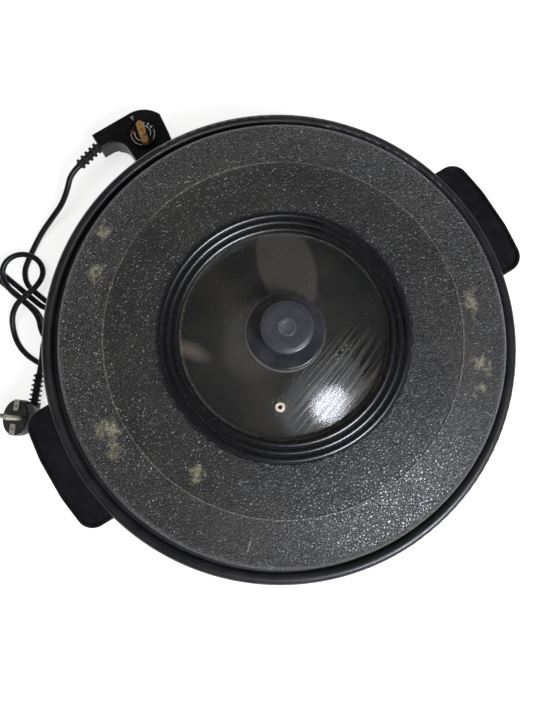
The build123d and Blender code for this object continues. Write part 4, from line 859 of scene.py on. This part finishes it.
class COOKER_OT_dial_print(bpy.types.Operator):
    """Print arcs, plain figures and the off dot on the dial, and its index on the housing"""

    bl_idname = "cooker.dial_print"
    bl_label = "Dial print"

    def execute(self, context):
        sizes = context.scene.cooker_sizes
        proud = sizes.print_height
        arcs = bmesh.new()
        for radius, width, first, last in DIAL_ARCS:
            on_hub = radius * MM < HUB_RADIUS
            face = DIAL_FACE + (HUB_RISE if on_hub else 0.0)
            printed_arc(arcs, radius * MM, width * MM, first, last, face - proud, face + proud,
                        sizes.arc_steps)
        bmesh.ops.recalc_face_normals(arcs, faces=arcs.faces)
        settle(mesh_piece("dial_arcs", arcs, PRINT_SMOOTH), "white print", "dial")
        for number, degrees in enumerate(DIGIT_ANGLES, 1):
            self.figure(context, str(number), math.radians(degrees), sizes)
        dot = bmesh.new()
        bmesh.ops.create_circle(dot, cap_ends=True, segments=sizes.arc_steps,
                                radius=OFF_DOT_RADIUS)
        raised(dot, 2 * proud)
        away = Vector((math.cos(OFF_DOT_ANGLE), math.sin(OFF_DOT_ANGLE), 0.0)) * OFF_DOT_BAND
        place = Vector((DIAL_CENTRE.x, DIAL_CENTRE.y, DIAL_FACE - proud)) + away
        bmesh.ops.translate(dot, verts=dot.verts, vec=place)
        settle(mesh_piece("off_dot", dot, PRINT_SMOOTH), "red print", "dial")
        index = bmesh.new()
        tip = Vector((DIAL_CENTRE.x, DIAL_CENTRE.y + INDEX_NEAR, HOUSING_TOP - proud))
        back = Vector((DIAL_CENTRE.x, DIAL_CENTRE.y + INDEX_FAR, HOUSING_TOP - proud))
        side = Vector((INDEX_HALF, 0.0, 0.0))
        index.faces.new([index.verts.new(corner) for corner in (tip, back + side, back - side)])
        raised(index, 2 * proud)
        settle(mesh_piece("index_mark", index, PRINT_SMOOTH), "grey print", "thermostat")
        return {"FINISHED"}

    def figure(self, context, text, angle, sizes):
        """One printed figure, upright towards the dial's rim."""
        lettering = bpy.data.curves.new("figure_" + text, "FONT")
        lettering.body = text
        lettering.size = sizes.digit_height * TYPE_SIZE
        lettering.align_x = "CENTER"
        lettering.align_y = "CENTER"
        lettering.extrude = sizes.print_height
        lettering.resolution_u = 3
        holder = bpy.data.objects.new("figure_" + text, lettering)
        context.scene.collection.objects.link(holder)
        flat = bpy.data.meshes.new_from_object(holder.evaluated_get(context.evaluated_depsgraph_get()))
        bpy.data.objects.remove(holder)
        turn = Matrix.Rotation(angle - math.pi / 2, 4, "Z")
        outward = Vector((math.cos(angle), math.sin(angle), 0.0)) * DIGIT_BAND
        place = Vector((DIAL_CENTRE.x, DIAL_CENTRE.y, DIAL_FACE)) + outward
        flat.transform(Matrix.Translation(place) @ turn)
        item = bpy.data.objects.new("figure_" + text, flat)
        context.scene.collection.objects.link(item)
        settle(item, "white print", "dial")


class COOKER_OT_ring(bpy.types.Operator):
    """Turn the clamping ring: three round ridges on top, stepped below to bear on flange and seal"""

    bl_idname = "cooker.ring"
    bl_label = "Clamping ring"

    def execute(self, context):
        sizes = context.scene.cooker_sizes
        shape = bmesh.new()
        half = RIDGE_PITCH / 2
        sink = (half ** 2 - RIDGE_RISE ** 2) / (2 * RIDGE_RISE)
        valley = RING_HIGH.z - RIDGE_RISE
        corner = LID_CENTRE.copy()
        corner.z = 0.0
        foot = shape.verts.new(corner + Vector((RING_RADIUS, 0.0, RING_LOW.z)))
        end = shape.verts.new(corner + Vector((RING_RADIUS, 0.0, valley)))
        shape.edges.new((foot, end))
        for ridge in range(RIDGES):
            middle = corner + Vector((RING_RADIUS - half - ridge * RIDGE_PITCH, 0.0, valley - sink))
            arc = bmesh.ops.spin(shape, geom=[end], cent=middle, axis=(0.0, 1.0, 0.0),
                                 angle=-2 * math.atan2(half, sink), steps=RIDGE_STEPS, use_merge=False)
            end = [item for item in arc["geom_last"] if isinstance(item, bmesh.types.BMVert)][0]
        for radius, height in ((RIDGE_INNER, SEAL_TOP), (SEAL_OUTER, SEAL_TOP), (SEAL_OUTER, RING_LOW.z)):
            below = shape.verts.new(corner + Vector((radius, 0.0, height)))
            shape.edges.new((end, below))
            end = below
        shape.edges.new((end, foot))
        bmesh.ops.spin(shape, geom=shape.verts[:] + shape.edges[:], cent=corner, axis=(0.0, 0.0, 1.0),
                       angle=math.tau, steps=sizes.ring_steps, use_merge=True)
        bmesh.ops.remove_doubles(shape, verts=shape.verts, dist=1e-6)
        bmesh.ops.recalc_face_normals(shape, faces=shape.faces)
        ring = settle(mesh_piece("clamping_ring", shape), "ring", "lid")
        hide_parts("bezel_ring")
        return {"FINISHED"}


class COOKER_OT_cord(bpy.types.Operator):
    """Lay the cord from the thermostat through its hank to the plug"""

    bl_idname = "cooker.cord"
    bl_label = "Cord"

    def execute(self, context):
        sizes = context.scene.cooker_sizes
        route = [point * MM for point in cord_route()]
        curve = bpy.data.curves.new("cord", "CURVE")
        curve.dimensions = "3D"
        curve.resolution_u = 10
        curve.bevel_depth = sizes.cord_diameter / 2
        curve.bevel_resolution = 5
        line = curve.splines.new("NURBS")
        line.points.add(len(route) - 1)
        for point, place in zip(line.points, route):
            point.co = (*place, 1.0)
        line.order_u = 3
        line.use_endpoint_u = True
        cord = bpy.data.objects.new("cord", curve)
        context.scene.collection.objects.link(cord)
        settle(cord, "sheath", "thermostat")
        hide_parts("cord_upper", "cord_hank", "cord_lower")
        return {"FINISHED"}


class COOKER_OT_finishes(bpy.types.Operator):
    """Give every solid that shows its own finish"""

    bl_idname = "cooker.finishes"
    bl_label = "Finishes"

    def execute(self, context):
        for name, solids in CAD_FINISHES.items():
            for solid in solids:
                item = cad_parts[solid]
                item.data.materials.clear()
                item.data.materials.append(finish(name))
        return {"FINISHED"}


class COOKER_PT_panel(bpy.types.Panel):
    """Buttons for each group of pieces"""

    bl_label = "Cooker"
    bl_idname = "COOKER_PT_panel"
    bl_space_type = "VIEW_3D"
    bl_region_type = "UI"
    bl_category = "Cooker"

    def draw(self, context):
        sizes = context.scene.cooker_sizes
        for name in CookerSizes.__annotations__:
            self.layout.prop(sizes, name)
        for step in OPERATORS:
            self.layout.operator(step.bl_idname)


OPERATORS = (COOKER_OT_stage, COOKER_OT_ring, COOKER_OT_cord, COOKER_OT_dial_print, COOKER_OT_finishes)
CLASSES = (CookerSizes,) + OPERATORS + (COOKER_PT_panel,)


def register():
    for item in CLASSES:
        bpy.utils.register_class(item)
    bpy.types.Scene.cooker_sizes = PointerProperty(type=CookerSizes)


def unregister():
    del bpy.types.Scene.cooker_sizes
    for item in reversed(CLASSES):
        bpy.utils.unregister_class(item)


def main():
    """Build everything in order."""
    register()
    bpy.ops.cooker.stage()
    bpy.ops.cooker.ring()
    bpy.ops.cooker.cord()
    bpy.ops.cooker.dial_print()
    bpy.ops.cooker.finishes()


if __name__ == "__main__":
    main()
